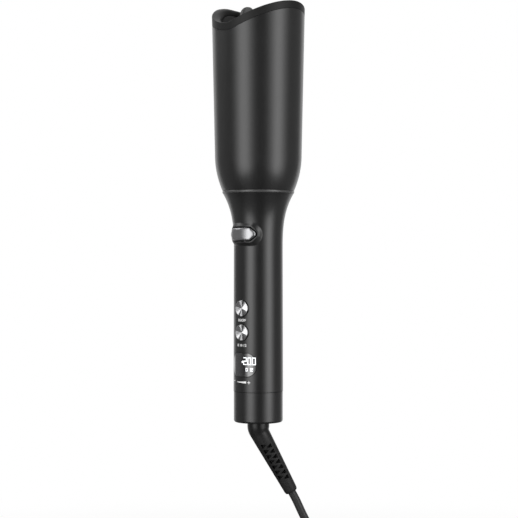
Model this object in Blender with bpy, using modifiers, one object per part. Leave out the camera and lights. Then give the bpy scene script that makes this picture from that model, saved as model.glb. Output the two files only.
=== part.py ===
"""Automatic hair curler, as its separate pieces.

Metres, +Z up. The handle's axis is Z, the buttons face -Y and the hair slot faces +Y. Heights are
counted from the flat face of the end ring, and one root empty lowers the whole model, so that its
origin lies on the axis in the middle of the grip. Angles round the head are counted from the front.
"""

import math

import bmesh
import bpy
import numpy as np
from mathutils import Matrix, Vector

MM = 0.001

# Fits that every piece shares
CLEARANCE = 0.3 * MM
RUNNING_GAP = 0.4 * MM
OVERRUN = 3.0 * MM
SLOPE_STEP = 0.01 * MM
WELD = 0.001 * MM

# How many sides the round pieces have
ROUND_STEPS = 48
CORE_STEPS = 32
SMALL_STEPS = 20
TINY_STEPS = 12
SMOOTH_ANGLE = 32

# Where the hand holds it, above the end ring's face
GRIP_HEIGHT = 95.0 * MM

# End ring, a dial that turns on the tail core
DIAL_HEIGHT = 21.6 * MM
DIAL_RADIUS = 17.42 * MM
DIAL_WALL = 2.0 * MM
DIAL_FLOOR = 2.0 * MM
DIAL_EDGE = 1.5 * MM
DIAL_BEAD = 0.8 * MM
DIAL_BEAD_HEIGHT = 1.4 * MM
DIAL_BEAD_Z = 14.5 * MM
SEAM = 0.4 * MM

# Handle and neck
HANDLE_LENGTH = 100.0 * MM
HANDLE_FOOT_RADIUS = 17.62 * MM
HANDLE_TOP_RADIUS = 17.4 * MM
HANDLE_WALL = 2.0 * MM
NECK_LENGTH = 40.6 * MM
NECK_POWER = 3.0
NECK_ROW_SHARES = (0.3, 0.48, 0.62, 0.74, 0.85, 0.93, 1.0)
NECK_INNER_SHARES = (0.35, 0.6, 0.8, 0.9, 1.0)
BAND_RADIUS = 25.5 * MM
BAND_HEIGHT = 1.4 * MM
BAND_STEP = 0.2 * MM

# Head shell
HEAD_LENGTH = 132.1 * MM
HEAD_TOP_RADIUS = 33.2 * MM
HEAD_WALL = 2.2 * MM
BOWL_LENGTH = 26.0 * MM
BOWL_TOP_RADIUS = 30.9 * MM
BOWL_POWER = 2.1
BOWL_ROW_SHARES = (0.78, 0.58, 0.4, 0.25, 0.12)
FLANGE_THICKNESS = 2.0 * MM
SPIGOT_LENGTH = 3.8 * MM
SPIGOT_WALL = 1.6 * MM

# Waved crown and the hair slot at the back. Pairs are for the right and the left petal
CROWN_DIP = 15.6 * MM
DIP_ANGLE = 3
PEAK_ANGLES = (96, 90)
WAVE_POWERS = (1.08, 1.65)
PETAL_LIFTS = (0, 0.9 * MM)
SHOULDER_DROP = 4.5 * MM
SHOULDER_POWER = 1.6
SLOT_HALF_ANGLE = 38
SLOT_DRAFT = 1.2 * MM
SLOT_SILL = 8.0 * MM
SLOT_CORNER = 8.0 * MM
PETAL_CORNER = 7.0 * MM
TRIM_WIDTH = 5.4 * MM
TRIM_EDGE = 0.6 * MM
TRIM_LIP = 1.4 * MM
TRIM_MOUTH = 3.4 * MM
WAVE_STEPS = 20
CORNER_STEPS = 5
SILL_STEPS = 5

# Chamber liner, a cup inside the shell
LINER_GAP = 0.7 * MM
LINER_WALL = 1.4 * MM
CHAMBER_FLOOR = 21.7 * MM
CHAMBER_FLOOR_THICKNESS = 2.0 * MM

# Drive
SHAFT_RADIUS = 4.0 * MM
MOTOR_RADIUS = 12.0 * MM
MOTOR_LENGTH = 18.5 * MM
MOTOR_BOSS_RADIUS = 3.6 * MM
MOTOR_BOSS_HEIGHT = 2.6 * MM
MOTOR_EDGE = 1.0 * MM
GEARBOX_RADIUS = 14.0 * MM
GEARBOX_HEIGHT = 9.7 * MM
GEARBOX_NOSE_RADIUS = 4.6 * MM
MOTOR_PLATE_RISE = 6.0 * MM
MOTOR_PLATE_THICKNESS = 2.0 * MM
MOTOR_SCREW_CIRCLE = 11.2 * MM
MOTOR_SCREW_COUNT = 3
SCREW_RADIUS = 1.2 * MM
SCREW_HEAD_RADIUS = 2.2 * MM
SCREW_HEAD_HEIGHT = 1.5 * MM
SCREW_LENGTH = 7.0 * MM
BEARING_WALL = 2.8 * MM
BEARING_FLANGE = 2.3 * MM
BEARING_FLANGE_THICKNESS = 1.7 * MM
BEARING_STANDOUT = 1.0 * MM

# Slip rings under the chamber floor
HUB_RADIUS = 8.3 * MM
RING_DEPTH = 1.5 * MM
RING_HEIGHT = 1.6 * MM
HUB_LIFT = 0.5 * MM
BRUSH_BLOCK_SIZE = (5.0 * MM, 8.0 * MM)
BRUSH_STICK = 3.0 * MM
BRUSH_HEIGHT = 1.0 * MM

# Rotor
ROTOR_BASE_THICKNESS = 2.2 * MM
ROTOR_BOSS_HEIGHT = 9.5 * MM
BARREL_RADIUS = 14.0 * MM
BARREL_WALL = 2.0 * MM
BARREL_SINK = 8.8 * MM
HEATER_LENGTH = 60.0 * MM
HEATER_PLATE_THICKNESS = 2.4 * MM
CLAW_PLATE_THICKNESS = 2.6 * MM
CLAW_DOME = 2.6 * MM
CLAW_DOME_SHARES = ((1.0, 0.0), (0.86, 0.5), (0.62, 0.84), (0.4, 1.0))
CLAW_SPIGOT = 5.0 * MM
CLAW_REACH = 7.5 * MM
CLAW_THICKNESS = 3.5 * MM
CLAW_HALF_WIDTH = 8.0 * MM
CLAW_STANDOUT = 1.8 * MM
CLAW_ANGLE = 115
CLAW_ROUNDNESS = 2.6
CLAW_EDGE = 1.0 * MM
CLAW_COLUMNS = 12
CAP_SCREW_RADIUS = 1.6 * MM
CAP_SCREW_HEAD_RADIUS = 3.2 * MM
CAP_SCREW_HEAD_HEIGHT = 1.4 * MM

# Controls on the front
DISPLAY_Z = 41.2 * MM
TIMER_BUTTON_Z = 64.0 * MM
POWER_BUTTON_Z = 81.0 * MM
ROCKER_BELOW_FRAME = 4.7 * MM
DISPLAY_HALF_ANGLE = 38.5
DISPLAY_HALF_HEIGHT = 8.3 * MM
DISPLAY_CORNER = 7.6 * MM
DISPLAY_THICKNESS = 1.6 * MM
DISPLAY_EDGE = 0.25 * MM
LCD_SIZE = (18.0 * MM, 13.4 * MM)
BUTTON_RADIUS = 5.7 * MM
BUTTON_STANDOUT = 0.45 * MM
BUTTON_DISH = 0.5 * MM
BUTTON_EDGE = 0.4 * MM
BUTTON_TRAVEL = 0.8 * MM
BUTTON_FLANGE = 1.2 * MM
BUTTON_FLANGE_THICKNESS = 1.2 * MM
BUTTON_STEM_RADIUS = 2.0 * MM
BUTTON_STEM_LENGTH = 1.0 * MM
BUTTON_RING_SHARES = (0.16, 0.94)
SWITCH_SIZE = 6.0 * MM
PLUNGER_RADIUS = 1.6 * MM
PLUNGER_HEIGHT = 0.8 * MM
BEZEL_HALF_ANGLE = 44
BEZEL_HALF_HEIGHT = 7.0 * MM
BEZEL_STANDOUT = 1.7 * MM
BEZEL_DEPTH = 4.4 * MM
BEZEL_EDGE = 1.3 * MM
ROCKER_HALF_ANGLE = 36.5
ROCKER_HALF_HEIGHT = 4.55 * MM
ROCKER_STANDOUT = 2.6 * MM
ROCKER_THICKNESS = 2.0 * MM
ROCKER_EDGE = 0.55 * MM
ROCKER_GAP = 0.5 * MM
ROCKER_TIP_SHARE = 0.24
ROCKER_TILT = 4
ROCKER_PIN_DEPTH = 13.5 * MM
ROCKER_PIN_RADIUS = 1.0 * MM
ROCKER_BOSS_WALL = 1.1 * MM
ROCKER_STEM_WIDTH = 4.0 * MM
ROCKER_ARM = 5.0 * MM
ROCKER_ARM_HEIGHT = 3.0 * MM
ROCKER_ARM_THICKNESS = 1.2 * MM
LUG_WIDTH = 5.0 * MM
LUG_HEIGHT = 1.6 * MM
PANEL_COLUMNS = 6
PANEL_END_STEPS = 6

# Boards and chassis inside the handle
BOARD_DEPTH = 6.5 * MM
BOARD_THICKNESS = 1.5 * MM
BOARD_EDGE_GAP = 1.8 * MM
BOARD_FOOT_GAP = 1.0 * MM
FRAME_TOP_GAP = 1.0 * MM
CHASSIS_THICKNESS = 1.5 * MM
CHASSIS_RAIL = 7.2 * MM
CHASSIS_SIDE_GAP = 1.6 * MM
CHASSIS_FOOT_THICKNESS = 2.0 * MM
CHASSIS_FOOT_SIZE = (18.0 * MM, 7.0 * MM)
CHASSIS_SCREW_OFFSET = 6.5 * MM
CAPACITOR_LARGE_SHARE = 0.43
CAPACITOR_SMALL_SHARE = 0.34
CAPACITOR_LARGE_HEIGHT = 16.0 * MM
CAPACITOR_SMALL_HEIGHT = 11.0 * MM
CAPACITOR_EDGE = 0.6 * MM
CAPACITOR_LARGE_Z = 50.0 * MM
CAPACITOR_SMALL_Z = 74.0 * MM
TRANSFORMER_SIZE = (12.0 * MM, 14.0 * MM)
TRANSFORMER_Z = 98.0 * MM
TRANSFORMER_DEPTH_SHARE = 0.74

# Tail core, the fixed journal of the end ring and of the cord's swivel
CORE_TOP = 26.0 * MM
CORE_GROOVE_SLACK = 0.35 * MM
CORE_WIRE_RADIUS = 5.0 * MM
RETAINER_HEIGHT = 3.6 * MM
ENCODER_THICKNESS = 1.6 * MM
ENCODER_HOLE_RADIUS = 4.5 * MM

# Cord boot, a bent strain relief with staggered slots
BOOT_RADIUS = 7.7 * MM
BOOT_WAIST_RADIUS = 6.45 * MM
BOOT_END_RADIUS = 4.75 * MM
BOOT_TIP_RADIUS = 3.4 * MM
BOOT_TIP = 2.6 * MM
BOOT_FLANGE_RADIUS = 9.5 * MM
BOOT_FLANGE_THICKNESS = 2.0 * MM
BOOT_DROP = 3.5 * MM
BOOT_BEND_ANGLE = 28.5
BOOT_BEND_RADIUS = 14.0 * MM
BOOT_STRAIGHT = 44.5 * MM
BOOT_BEND_STEPS = 5
BOOT_SIDES = 16
SLOT_COUNT = 8
SLOT_PITCH = 3.5 * MM
SLOT_START = 9.0 * MM
SLOT_WIDTH = 3.7 * MM
SLOT_LENGTH = 2.3 * MM
SLOT_DEPTH = 2.0 * MM
SLOT_STAGGER = 1.9 * MM

# Cord, which turns with the boot and hangs in the plane of the picture
VIEW_ANGLE = 42
CORD_DIAMETER = 5.8 * MM
CORD_POINT_STEP = 14.0 * MM
CORD_ROUTE = (
    (31.3 * MM, 0, -65.2 * MM),
    (37.6 * MM, 0, -78.0 * MM),
    (42.9 * MM, 0, -92.0 * MM),
    (46.8 * MM, 0, -106.0 * MM),
    (49.2 * MM, 0, -117.0 * MM),
)
HANK_X = 19.0 * MM
HANK_Z = -192.0 * MM
HANK_HALF_RUN = 61.0 * MM
HANK_FOLD_DIAMETERS = 6.0
HANK_PITCH_DIAMETERS = 1.18
HANK_LAYER_TURNS = 2
HANK_WAIST = 13.5 * MM
LOOP_RUN_STEPS = 5
LOOP_END_STEPS = 7
TIE_HEIGHT = 8.0 * MM
TIE_THICKNESS = 1.2 * MM
TIE_GAP = 0.5 * MM
TIE_CORNER_STEPS = 4
TAIL_DROP = 34.0 * MM
TAIL_STANDOUT_DIAMETERS = 1.95
TAIL_ROUTE_SHARES = ((0.36, 0.42), (0.56, 0.82))

# Plug with two round pins
PLUG_LENGTH = 38.0 * MM
PLUG_WIDTH = 34.0 * MM
PLUG_THICKNESS = 13.7 * MM
PLUG_NECK = 9.6 * MM
PLUG_STATION_SHARES = (
    (0.0, 0.0, 0.0),
    (0.24, 0.06, 0.12),
    (0.42, 0.3, 0.7),
    (0.62, 0.84, 1.0),
    (0.94, 1.0, 1.0),
    (1.0, 0.97, 0.9),
)
PLUG_ROUNDNESS = 3.2
PLUG_SIDES = 20
PIN_RADIUS = 2.0 * MM
PIN_LENGTH = 19.0 * MM
PIN_SEAT = 6.0 * MM
PIN_SPACING = 19.0 * MM

# Heights that follow from the lengths above
HANDLE_FOOT_Z = DIAL_HEIGHT + SEAM
HANDLE_TOP_Z = HANDLE_FOOT_Z + HANDLE_LENGTH
NECK_TOP_Z = HANDLE_TOP_Z + NECK_LENGTH
BAND_TOP_Z = NECK_TOP_Z + BAND_HEIGHT
HEAD_FOOT_Z = BAND_TOP_Z + CLEARANCE
BOWL_TOP_Z = HEAD_FOOT_Z + BOWL_LENGTH
CROWN_PEAK_Z = HEAD_FOOT_Z + HEAD_LENGTH
CROWN_DIP_Z = CROWN_PEAK_Z - CROWN_DIP
FLOOR_Z = HEAD_FOOT_Z + CHAMBER_FLOOR
FLOOR_UNDER_Z = FLOOR_Z - CHAMBER_FLOOR_THICKNESS
SLOT_SILL_Z = FLOOR_Z + SLOT_SILL
MOTOR_PLATE_Z = HEAD_FOOT_Z + MOTOR_PLATE_RISE
MOTOR_PLATE_TOP_Z = MOTOR_PLATE_Z + MOTOR_PLATE_THICKNESS
GEARBOX_Z = MOTOR_PLATE_Z - CLEARANCE - GEARBOX_HEIGHT
MOTOR_TOP_Z = GEARBOX_Z - CLEARANCE
MOTOR_Z = MOTOR_TOP_Z - MOTOR_LENGTH
FRAME_TOP_Z = MOTOR_Z - MOTOR_BOSS_HEIGHT - FRAME_TOP_GAP
BEARING_TOP_Z = FLOOR_Z + BEARING_STANDOUT
BEARING_FLANGE_TOP_Z = FLOOR_UNDER_Z - CLEARANCE
BEARING_FOOT_Z = BEARING_FLANGE_TOP_Z - BEARING_FLANGE_THICKNESS
HUB_Z = MOTOR_PLATE_TOP_Z + CLEARANCE + SCREW_HEAD_HEIGHT + HUB_LIFT
HUB_TOP_Z = BEARING_FOOT_Z - CLEARANCE
ROTOR_BASE_Z = BEARING_TOP_Z + CLEARANCE
ROTOR_BASE_TOP_Z = ROTOR_BASE_Z + ROTOR_BASE_THICKNESS
ROTOR_BOSS_TOP_Z = ROTOR_BASE_TOP_Z + ROTOR_BOSS_HEIGHT
BARREL_Z = ROTOR_BASE_TOP_Z + CLEARANCE
BARREL_TOP_Z = CROWN_DIP_Z - BARREL_SINK
CLAW_PLATE_Z = BARREL_TOP_Z + CLEARANCE
CLAW_PLATE_TOP_Z = CLAW_PLATE_Z + CLAW_PLATE_THICKNESS
CLAW_DOME_Z = CLAW_PLATE_TOP_Z + CLAW_DOME
CLAW_TOP_Z = CROWN_PEAK_Z + CLAW_STANDOUT
ROCKER_Z = FRAME_TOP_Z - ROCKER_BELOW_FRAME
RETAINER_Z = DIAL_FLOOR + CLEARANCE
RETAINER_TOP_Z = RETAINER_Z + RETAINER_HEIGHT
CORE_Z = RETAINER_TOP_Z + CLEARANCE
BOOT_FLANGE_TOP_Z = CORE_Z + BOOT_FLANGE_THICKNESS
ENCODER_Z = CORE_TOP + CLEARANCE
CHASSIS_Z = ENCODER_Z + ENCODER_THICKNESS + CLEARANCE
BOARD_Z = CHASSIS_Z + CHASSIS_FOOT_THICKNESS + BOARD_FOOT_GAP

# Radii and depths that follow from the sizes above
HANDLE_INNER_RADIUS = min(HANDLE_FOOT_RADIUS, HANDLE_TOP_RADIUS) - HANDLE_WALL
DIAL_INNER_RADIUS = DIAL_RADIUS - DIAL_WALL
CORE_RADIUS = min(DIAL_INNER_RADIUS, HANDLE_INNER_RADIUS) - RUNNING_GAP
SHAFT_BORE = SHAFT_RADIUS + CLEARANCE
BEARING_RADIUS = SHAFT_BORE + BEARING_WALL
BOOT_HOLE_RADIUS = BOOT_RADIUS + RUNNING_GAP
SCREW_HOLE_RADIUS = SCREW_RADIUS + CLEARANCE
BOARD_HALF_WIDTH = math.sqrt((HANDLE_INNER_RADIUS - BOARD_EDGE_GAP) ** 2 - BOARD_DEPTH**2)
BOARD_BACK = -BOARD_DEPTH + BOARD_THICKNESS
CHASSIS_FRONT = BOARD_BACK + CLEARANCE
CHASSIS_BACK = CHASSIS_FRONT + CHASSIS_THICKNESS
RAIL_BACK = CHASSIS_BACK + CHASSIS_RAIL
CHASSIS_HALF_WIDTH = (
    math.sqrt((HANDLE_INNER_RADIUS - CLEARANCE) ** 2 - max(-CHASSIS_FRONT, RAIL_BACK) ** 2)
    - CHASSIS_SIDE_GAP
)
POWER_BOARD_FRONT = RAIL_BACK + CLEARANCE
POWER_BOARD_BACK = POWER_BOARD_FRONT + BOARD_THICKNESS
POWER_HALF_WIDTH = min(
    CHASSIS_HALF_WIDTH,
    math.sqrt((HANDLE_INNER_RADIUS - CLEARANCE) ** 2 - POWER_BOARD_BACK**2),
)
REAR_SPACE = HANDLE_INNER_RADIUS - POWER_BOARD_BACK - CLEARANCE


def handle_radius(z):
    """Outer radius of the handle and neck at a height: a slight taper, then a cubic flare."""
    along = min(max((z - HANDLE_FOOT_Z) / HANDLE_LENGTH, 0), 1)
    straight = HANDLE_FOOT_RADIUS + (HANDLE_TOP_RADIUS - HANDLE_FOOT_RADIUS) * along
    flare = BAND_RADIUS - BAND_STEP - HANDLE_TOP_RADIUS
    rise = max((z - HANDLE_TOP_Z) / NECK_LENGTH, 0)
    return straight + flare * rise**NECK_POWER


def head_radius(z):
    """Outer radius of the head at a height: a bowl, then a wall that widens slowly to the crown."""
    along = (z - HEAD_FOOT_Z) / BOWL_LENGTH
    if along < 1:
        return BOWL_TOP_RADIUS - (BOWL_TOP_RADIUS - BAND_RADIUS) * (1 - along) ** BOWL_POWER
    taper = (z - BOWL_TOP_Z) / (CROWN_PEAK_Z - BOWL_TOP_Z)
    return BOWL_TOP_RADIUS + (HEAD_TOP_RADIUS - BOWL_TOP_RADIUS) * taper


def inside(radius_at, z, wall):
    """Radius of the inner face of a wall that keeps its thickness square to the slope."""
    slope = (radius_at(z) - radius_at(z - SLOPE_STEP)) / SLOPE_STEP
    return radius_at(z) - wall * math.hypot(1, slope)


SHELL_INNER_RADIUS = min(inside(head_radius, z, HEAD_WALL) for z in (FLOOR_UNDER_Z, CROWN_PEAK_Z))
LINER_OUTER_RADIUS = SHELL_INNER_RADIUS - LINER_GAP
LINER_RADIUS = LINER_OUTER_RADIUS - LINER_WALL
ROTOR_BASE_RADIUS = LINER_RADIUS - 2 * RUNNING_GAP
BARREL_INNER_RADIUS = BARREL_RADIUS - BARREL_WALL
CORE_FIT_RADIUS = BARREL_INNER_RADIUS - RUNNING_GAP
CLAW_OUTER_RADIUS = BARREL_RADIUS + CLAW_REACH

for old in list(bpy.data.objects):
    bpy.data.objects.remove(old, do_unlink=True)

scene = bpy.context.scene
PARTS = bpy.data.collections.new("automatic_hair_curler")
CUTTERS = bpy.data.collections.new("cutters")
scene.collection.children.link(PARTS)
scene.collection.children.link(CUTTERS)
CUTTERS.hide_render = True

FINISHES = {
    "satin_black": ((0.032, 0.033, 0.032, 1), 0.42, 0.0),
    "gloss_black": ((0.012, 0.012, 0.013, 1), 0.08, 0.0),
    "trim_black": ((0.018, 0.018, 0.019, 1), 0.3, 0.0),
    "chrome": ((0.72, 0.72, 0.73, 1), 0.14, 1.0),
    "spun_steel": ((0.55, 0.55, 0.56, 1), 0.28, 1.0),
    "ceramic": ((0.09, 0.085, 0.08, 1), 0.35, 0.0),
    "steel": ((0.5, 0.5, 0.51, 1), 0.35, 1.0),
    "copper": ((0.75, 0.42, 0.26, 1), 0.3, 1.0),
    "aluminium": ((0.7, 0.7, 0.72, 1), 0.35, 1.0),
    "board_green": ((0.02, 0.14, 0.06, 1), 0.5, 0.0),
    "grey_plastic": ((0.25, 0.25, 0.26, 1), 0.55, 0.0),
    "white_plastic": ((0.75, 0.74, 0.7, 1), 0.5, 0.0),
    "cord_black": ((0.02, 0.02, 0.02, 1), 0.5, 0.0),
}


def empty(name, place, carrier=None):
    """An axis or reference point that pieces hang from."""
    axis = bpy.data.objects.new(name, None)
    axis.empty_display_size = CORD_DIAMETER
    axis.location = place
    axis.parent = carrier
    PARTS.objects.link(axis)
    return axis


ROOT = empty("handle_axis", (0, 0, -GRIP_HEIGHT))
ROTOR_AXIS = empty("rotor_axis", (0, 0, 0), ROOT)
DIAL_AXIS = empty("dial_axis", (0, 0, 0), ROOT)
SWIVEL_AXIS = empty("swivel_axis", (0, 0, 0), ROOT)
ROCKER_AXIS = empty("rocker_axis", (0, -ROCKER_PIN_DEPTH, ROCKER_Z), ROOT)
POWER_AXIS = empty("power_button_axis", (0, -BOARD_DEPTH, POWER_BUTTON_Z), ROOT)
TIMER_AXIS = empty("timer_button_axis", (0, -BOARD_DEPTH, TIMER_BUTTON_Z), ROOT)


def new_object(name, mesh):
    thing = bpy.data.objects.new(name, mesh)
    CUTTERS.objects.link(thing)
    thing.parent = ROOT
    thing.hide_render = True
    thing.display_type = "WIRE"
    return thing


def evaluated_mesh(thing):
    """The shape of an object with its modifiers, as a mesh of its own, its loose caps welded."""
    bpy.context.view_layer.update()
    graph = bpy.context.evaluated_depsgraph_get()
    mesh = bpy.data.meshes.new_from_object(thing.evaluated_get(graph))
    form = bmesh.new()
    form.from_mesh(mesh)
    bmesh.ops.remove_doubles(form, verts=form.verts, dist=WELD)
    form.to_mesh(mesh)
    form.free()
    return mesh


def turned(name, profile, steps=ROUND_STEPS, closed=True):
    """A turned piece. The profile runs down its outer side; an open one starts and ends on the axis."""
    mesh = bpy.data.meshes.new(name)
    count = len(profile)
    edges = [(i, (i + 1) % count) for i in range(count if closed else count - 1)]
    mesh.from_pydata([(radius, 0, z) for radius, z in profile], edges, [])
    thing = new_object(name, mesh)
    screw = thing.modifiers.new("turn", "SCREW")
    screw.steps = steps
    screw.render_steps = steps
    screw.use_merge_vertices = True
    screw.merge_threshold = WELD
    thing.data = evaluated_mesh(thing)
    thing.modifiers.clear()
    return thing


def rod(name, radius, low, high, steps=SMALL_STEPS, edge=0):
    """A plain or chamfered round bar along the axis."""
    profile = [(0, high), (radius - edge, high), (radius, high - edge), (radius, low), (0, low)]
    if not edge:
        profile.pop(1)
    return turned(name, profile, steps, closed=False)


def ring(name, inner, outer, low, high, steps=ROUND_STEPS):
    return turned(name, [(outer, high), (outer, low), (inner, low), (inner, high)], steps)


def box(name, low, high):
    """A block between two corners."""
    form = bmesh.new()
    bmesh.ops.create_cube(form, size=1)
    size = Vector(high) - Vector(low)
    bmesh.ops.scale(form, vec=size, verts=form.verts)
    mesh = bpy.data.meshes.new(name)
    form.to_mesh(mesh)
    form.free()
    thing = new_object(name, mesh)
    thing.location = (Vector(high) + Vector(low)) / 2
    return thing


def loft(name, sections, ring_shaped=False):
    """Skins a row of sections that have the same number of points, round a ring or with two caps."""
    form = bmesh.new()
    rows = [[form.verts.new(point) for point in section] for section in sections]
    size = len(rows[0])
    pairs = list(zip(rows, rows[1:]))
    if ring_shaped:
        pairs.append((rows[-1], rows[0]))
    for first, second in pairs:
        for i in range(size):
            j = (i + 1) % size
            form.faces.new((first[i], first[j], second[j], second[i]))
    if not ring_shaped:
        form.faces.new(rows[0])
        form.faces.new(rows[-1])
    bmesh.ops.recalc_face_normals(form, faces=form.faces)
    mesh = bpy.data.meshes.new(name)
    form.to_mesh(mesh)
    form.free()
    return new_object(name, mesh)


def combine(thing, tool, operation="DIFFERENCE"):
    change = thing.modifiers.new(tool.name, "BOOLEAN")
    change.operation = operation
    change.solver = "EXACT"
    change.object = tool
    return thing


def piece(thing, finish, carrier=ROOT):
    """Turns a finished shape into a named piece of the model, on the empty that carries it."""
    mesh = evaluated_mesh(thing)
    thing.modifiers.clear()
    thing.data = mesh
    mesh.shade_smooth()
    mesh.set_sharp_from_angle(angle=math.radians(SMOOTH_ANGLE))
    colour, roughness, metallic = FINISHES[finish]
    material = bpy.data.materials.new(thing.name)
    material.use_nodes = True
    shader = material.node_tree.nodes["Principled BSDF"]
    shader.inputs["Base Color"].default_value = colour
    shader.inputs["Roughness"].default_value = roughness
    shader.inputs["Metallic"].default_value = metallic
    mesh.materials.clear()
    mesh.materials.append(material)
    CUTTERS.objects.unlink(thing)
    PARTS.objects.link(thing)
    thing.hide_render = False
    thing.display_type = "TEXTURED"
    if carrier is not ROOT:
        thing.parent = carrier
        thing.location -= carrier.location
    return thing


def face_front(thing, depth, z):
    """Lays a shape that was turned about Z along the line that points out of the front."""
    thing.rotation_euler = (math.pi / 2, 0, 0)
    thing.location = (0, -depth, z)
    return thing


def round_axis(angle, radius, z):
    """The point at an angle from the front, in degrees, a radius and a height."""
    turn = math.radians(angle)
    return Vector((radius * math.sin(turn), -radius * math.cos(turn), z))


# Crown and slot


def rim_height(angle, side):
    """Height of the crown's waved edge at an angle from the front, on its right or left side."""
    peak_angle = PEAK_ANGLES[side]
    rise = CROWN_DIP + PETAL_LIFTS[side]
    if angle < DIP_ANGLE:
        return CROWN_DIP_Z
    if angle < peak_angle:
        share = (angle - DIP_ANGLE) / (peak_angle - DIP_ANGLE)
        return CROWN_DIP_Z + rise * math.sin(math.pi / 2 * share ** WAVE_POWERS[side])
    share = (angle - peak_angle) / (180 - SLOT_HALF_ANGLE - peak_angle)
    return CROWN_DIP_Z + rise - SHOULDER_DROP * share**SHOULDER_POWER


def rim_line(side):
    """Half of the crown's edge, unrolled: arc length from the front, and height.

    It follows the wave, turns down at the petal's corner, runs down the slot's side, and crosses the
    slot's foot to the back.
    """
    slot_side = HEAD_TOP_RADIUS * math.radians(180 - SLOT_HALF_ANGLE)
    shoulder = slot_side - PETAL_CORNER
    line = []
    for step in range(WAVE_STEPS):
        u = shoulder * step / WAVE_STEPS
        line.append((u, rim_height(math.degrees(u / HEAD_TOP_RADIUS), side)))
    top = rim_height(math.degrees(shoulder / HEAD_TOP_RADIUS), side)
    turns = [math.pi / 2 * step / CORNER_STEPS for step in range(CORNER_STEPS + 1)]
    for turn in turns:
        line.append((shoulder + PETAL_CORNER * math.sin(turn), top - PETAL_CORNER * (1 - math.cos(turn))))
    foot = slot_side + SLOT_DRAFT
    for turn in turns:
        u = foot + SLOT_CORNER * (1 - math.cos(turn))
        line.append((u, SLOT_SILL_Z + SLOT_CORNER * (1 - math.sin(turn))))
    back = HEAD_TOP_RADIUS * math.pi
    start = foot + SLOT_CORNER
    for step in range(1, SILL_STEPS + 1):
        line.append((start + (back - start) * step / SILL_STEPS, SLOT_SILL_Z))
    return line


def into_wall(line):
    """The direction from each point of the line into the wall, square to the line."""
    last = len(line) - 1
    directions = []
    for i in range(len(line)):
        if i in (0, last):
            along = Vector((1, 0))
        else:
            before = (Vector(line[i]) - Vector(line[i - 1])).normalized()
            after = (Vector(line[i + 1]) - Vector(line[i])).normalized()
            along = (before + after).normalized()
        directions.append(Vector((along.y, -along.x)))
    return directions


def rim_offset(distance):
    """The edge moved into the wall by a distance, once round the head: right half, then left."""
    back = HEAD_TOP_RADIUS * math.pi
    halves = []
    for side in range(len(PEAK_ANGLES)):
        line = rim_line(side)
        moved = [Vector(p) + n * distance for p, n in zip(line, into_wall(line))]
        halves.append([(p.x, p.y) for p in moved])
    right, left = halves
    return right + [(2 * back - u, z) for u, z in left[-2:0:-1]]


def on_head(u, z, radius):
    return round_axis(math.degrees(u / HEAD_TOP_RADIUS), radius, z)


def crown_opening(name):
    """What the crown's edge leaves open: all above the wave, and the slot, less the trim's width."""
    edge = rim_offset(TRIM_WIDTH + CLEARANCE)
    inner = LINER_RADIUS - OVERRUN
    outer = HEAD_TOP_RADIUS + OVERRUN
    top = CROWN_PEAK_Z + OVERRUN
    sections = []
    for u, z in edge:
        sections.append(
            [on_head(u, z, inner), on_head(u, z, outer), on_head(u, top, outer), on_head(u, top, inner)]
        )
    return loft(name, sections, ring_shaped=True)


def make_crown_trim():
    """One closed band that caps both walls of the head along the wave, the slot's sides and its foot.

    Behind its lip it falls away into the mouth, so that hair slides in.
    """
    top_edge = rim_offset(0)
    soft_edge = rim_offset(TRIM_EDGE)
    mouth_edge = rim_offset(TRIM_MOUTH)
    low_edge = rim_offset(TRIM_WIDTH)
    sections = []
    for high, soft, mouth, low in zip(top_edge, soft_edge, mouth_edge, low_edge):
        sections.append(
            [
                on_head(*high, head_radius(high[1]) - TRIM_EDGE - TRIM_LIP),
                on_head(*high, head_radius(high[1]) - TRIM_EDGE),
                on_head(*soft, head_radius(soft[1])),
                on_head(*low, head_radius(low[1])),
                on_head(*low, LINER_RADIUS),
                on_head(*mouth, LINER_RADIUS),
            ]
        )
    piece(loft("crown_trim", sections, ring_shaped=True), "trim_black")


def make_head():
    """The outer shell with its flange and spigot, and the liner cup inside it."""
    bowl = [HEAD_FOOT_Z + BOWL_LENGTH * share for share in BOWL_ROW_SHARES]
    outside = [CROWN_PEAK_Z, BOWL_TOP_Z] + bowl + [HEAD_FOOT_Z]
    profile = [(head_radius(z), z) for z in outside]
    spigot_foot = HEAD_FOOT_Z - SPIGOT_LENGTH
    spigot = inside(handle_radius, spigot_foot, HANDLE_WALL) - CLEARANCE
    flange_top = HEAD_FOOT_Z + FLANGE_THICKNESS
    profile += [(spigot, HEAD_FOOT_Z), (spigot, spigot_foot)]
    profile += [(spigot - SPIGOT_WALL, spigot_foot), (spigot - SPIGOT_WALL, flange_top)]
    inner = [flange_top] + [z for z in reversed(bowl) if z > flange_top + CLEARANCE]
    inner += [BOWL_TOP_Z, CROWN_PEAK_Z]
    profile += [(inside(head_radius, z, HEAD_WALL), z) for z in inner]
    shell = combine(turned("head_shell", profile), crown_opening("opening_in_shell"))
    piece(shell, "satin_black")

    hole = BEARING_RADIUS + CLEARANCE
    cup = turned(
        "chamber_liner",
        [
            (LINER_OUTER_RADIUS, CROWN_PEAK_Z),
            (LINER_OUTER_RADIUS, FLOOR_UNDER_Z),
            (hole, FLOOR_UNDER_Z),
            (hole, FLOOR_Z),
            (LINER_RADIUS, FLOOR_Z),
            (LINER_RADIUS, CROWN_PEAK_Z),
        ],
    )
    piece(combine(cup, crown_opening("opening_in_liner")), "grey_plastic")


# Curved panels on the front of the handle


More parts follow.
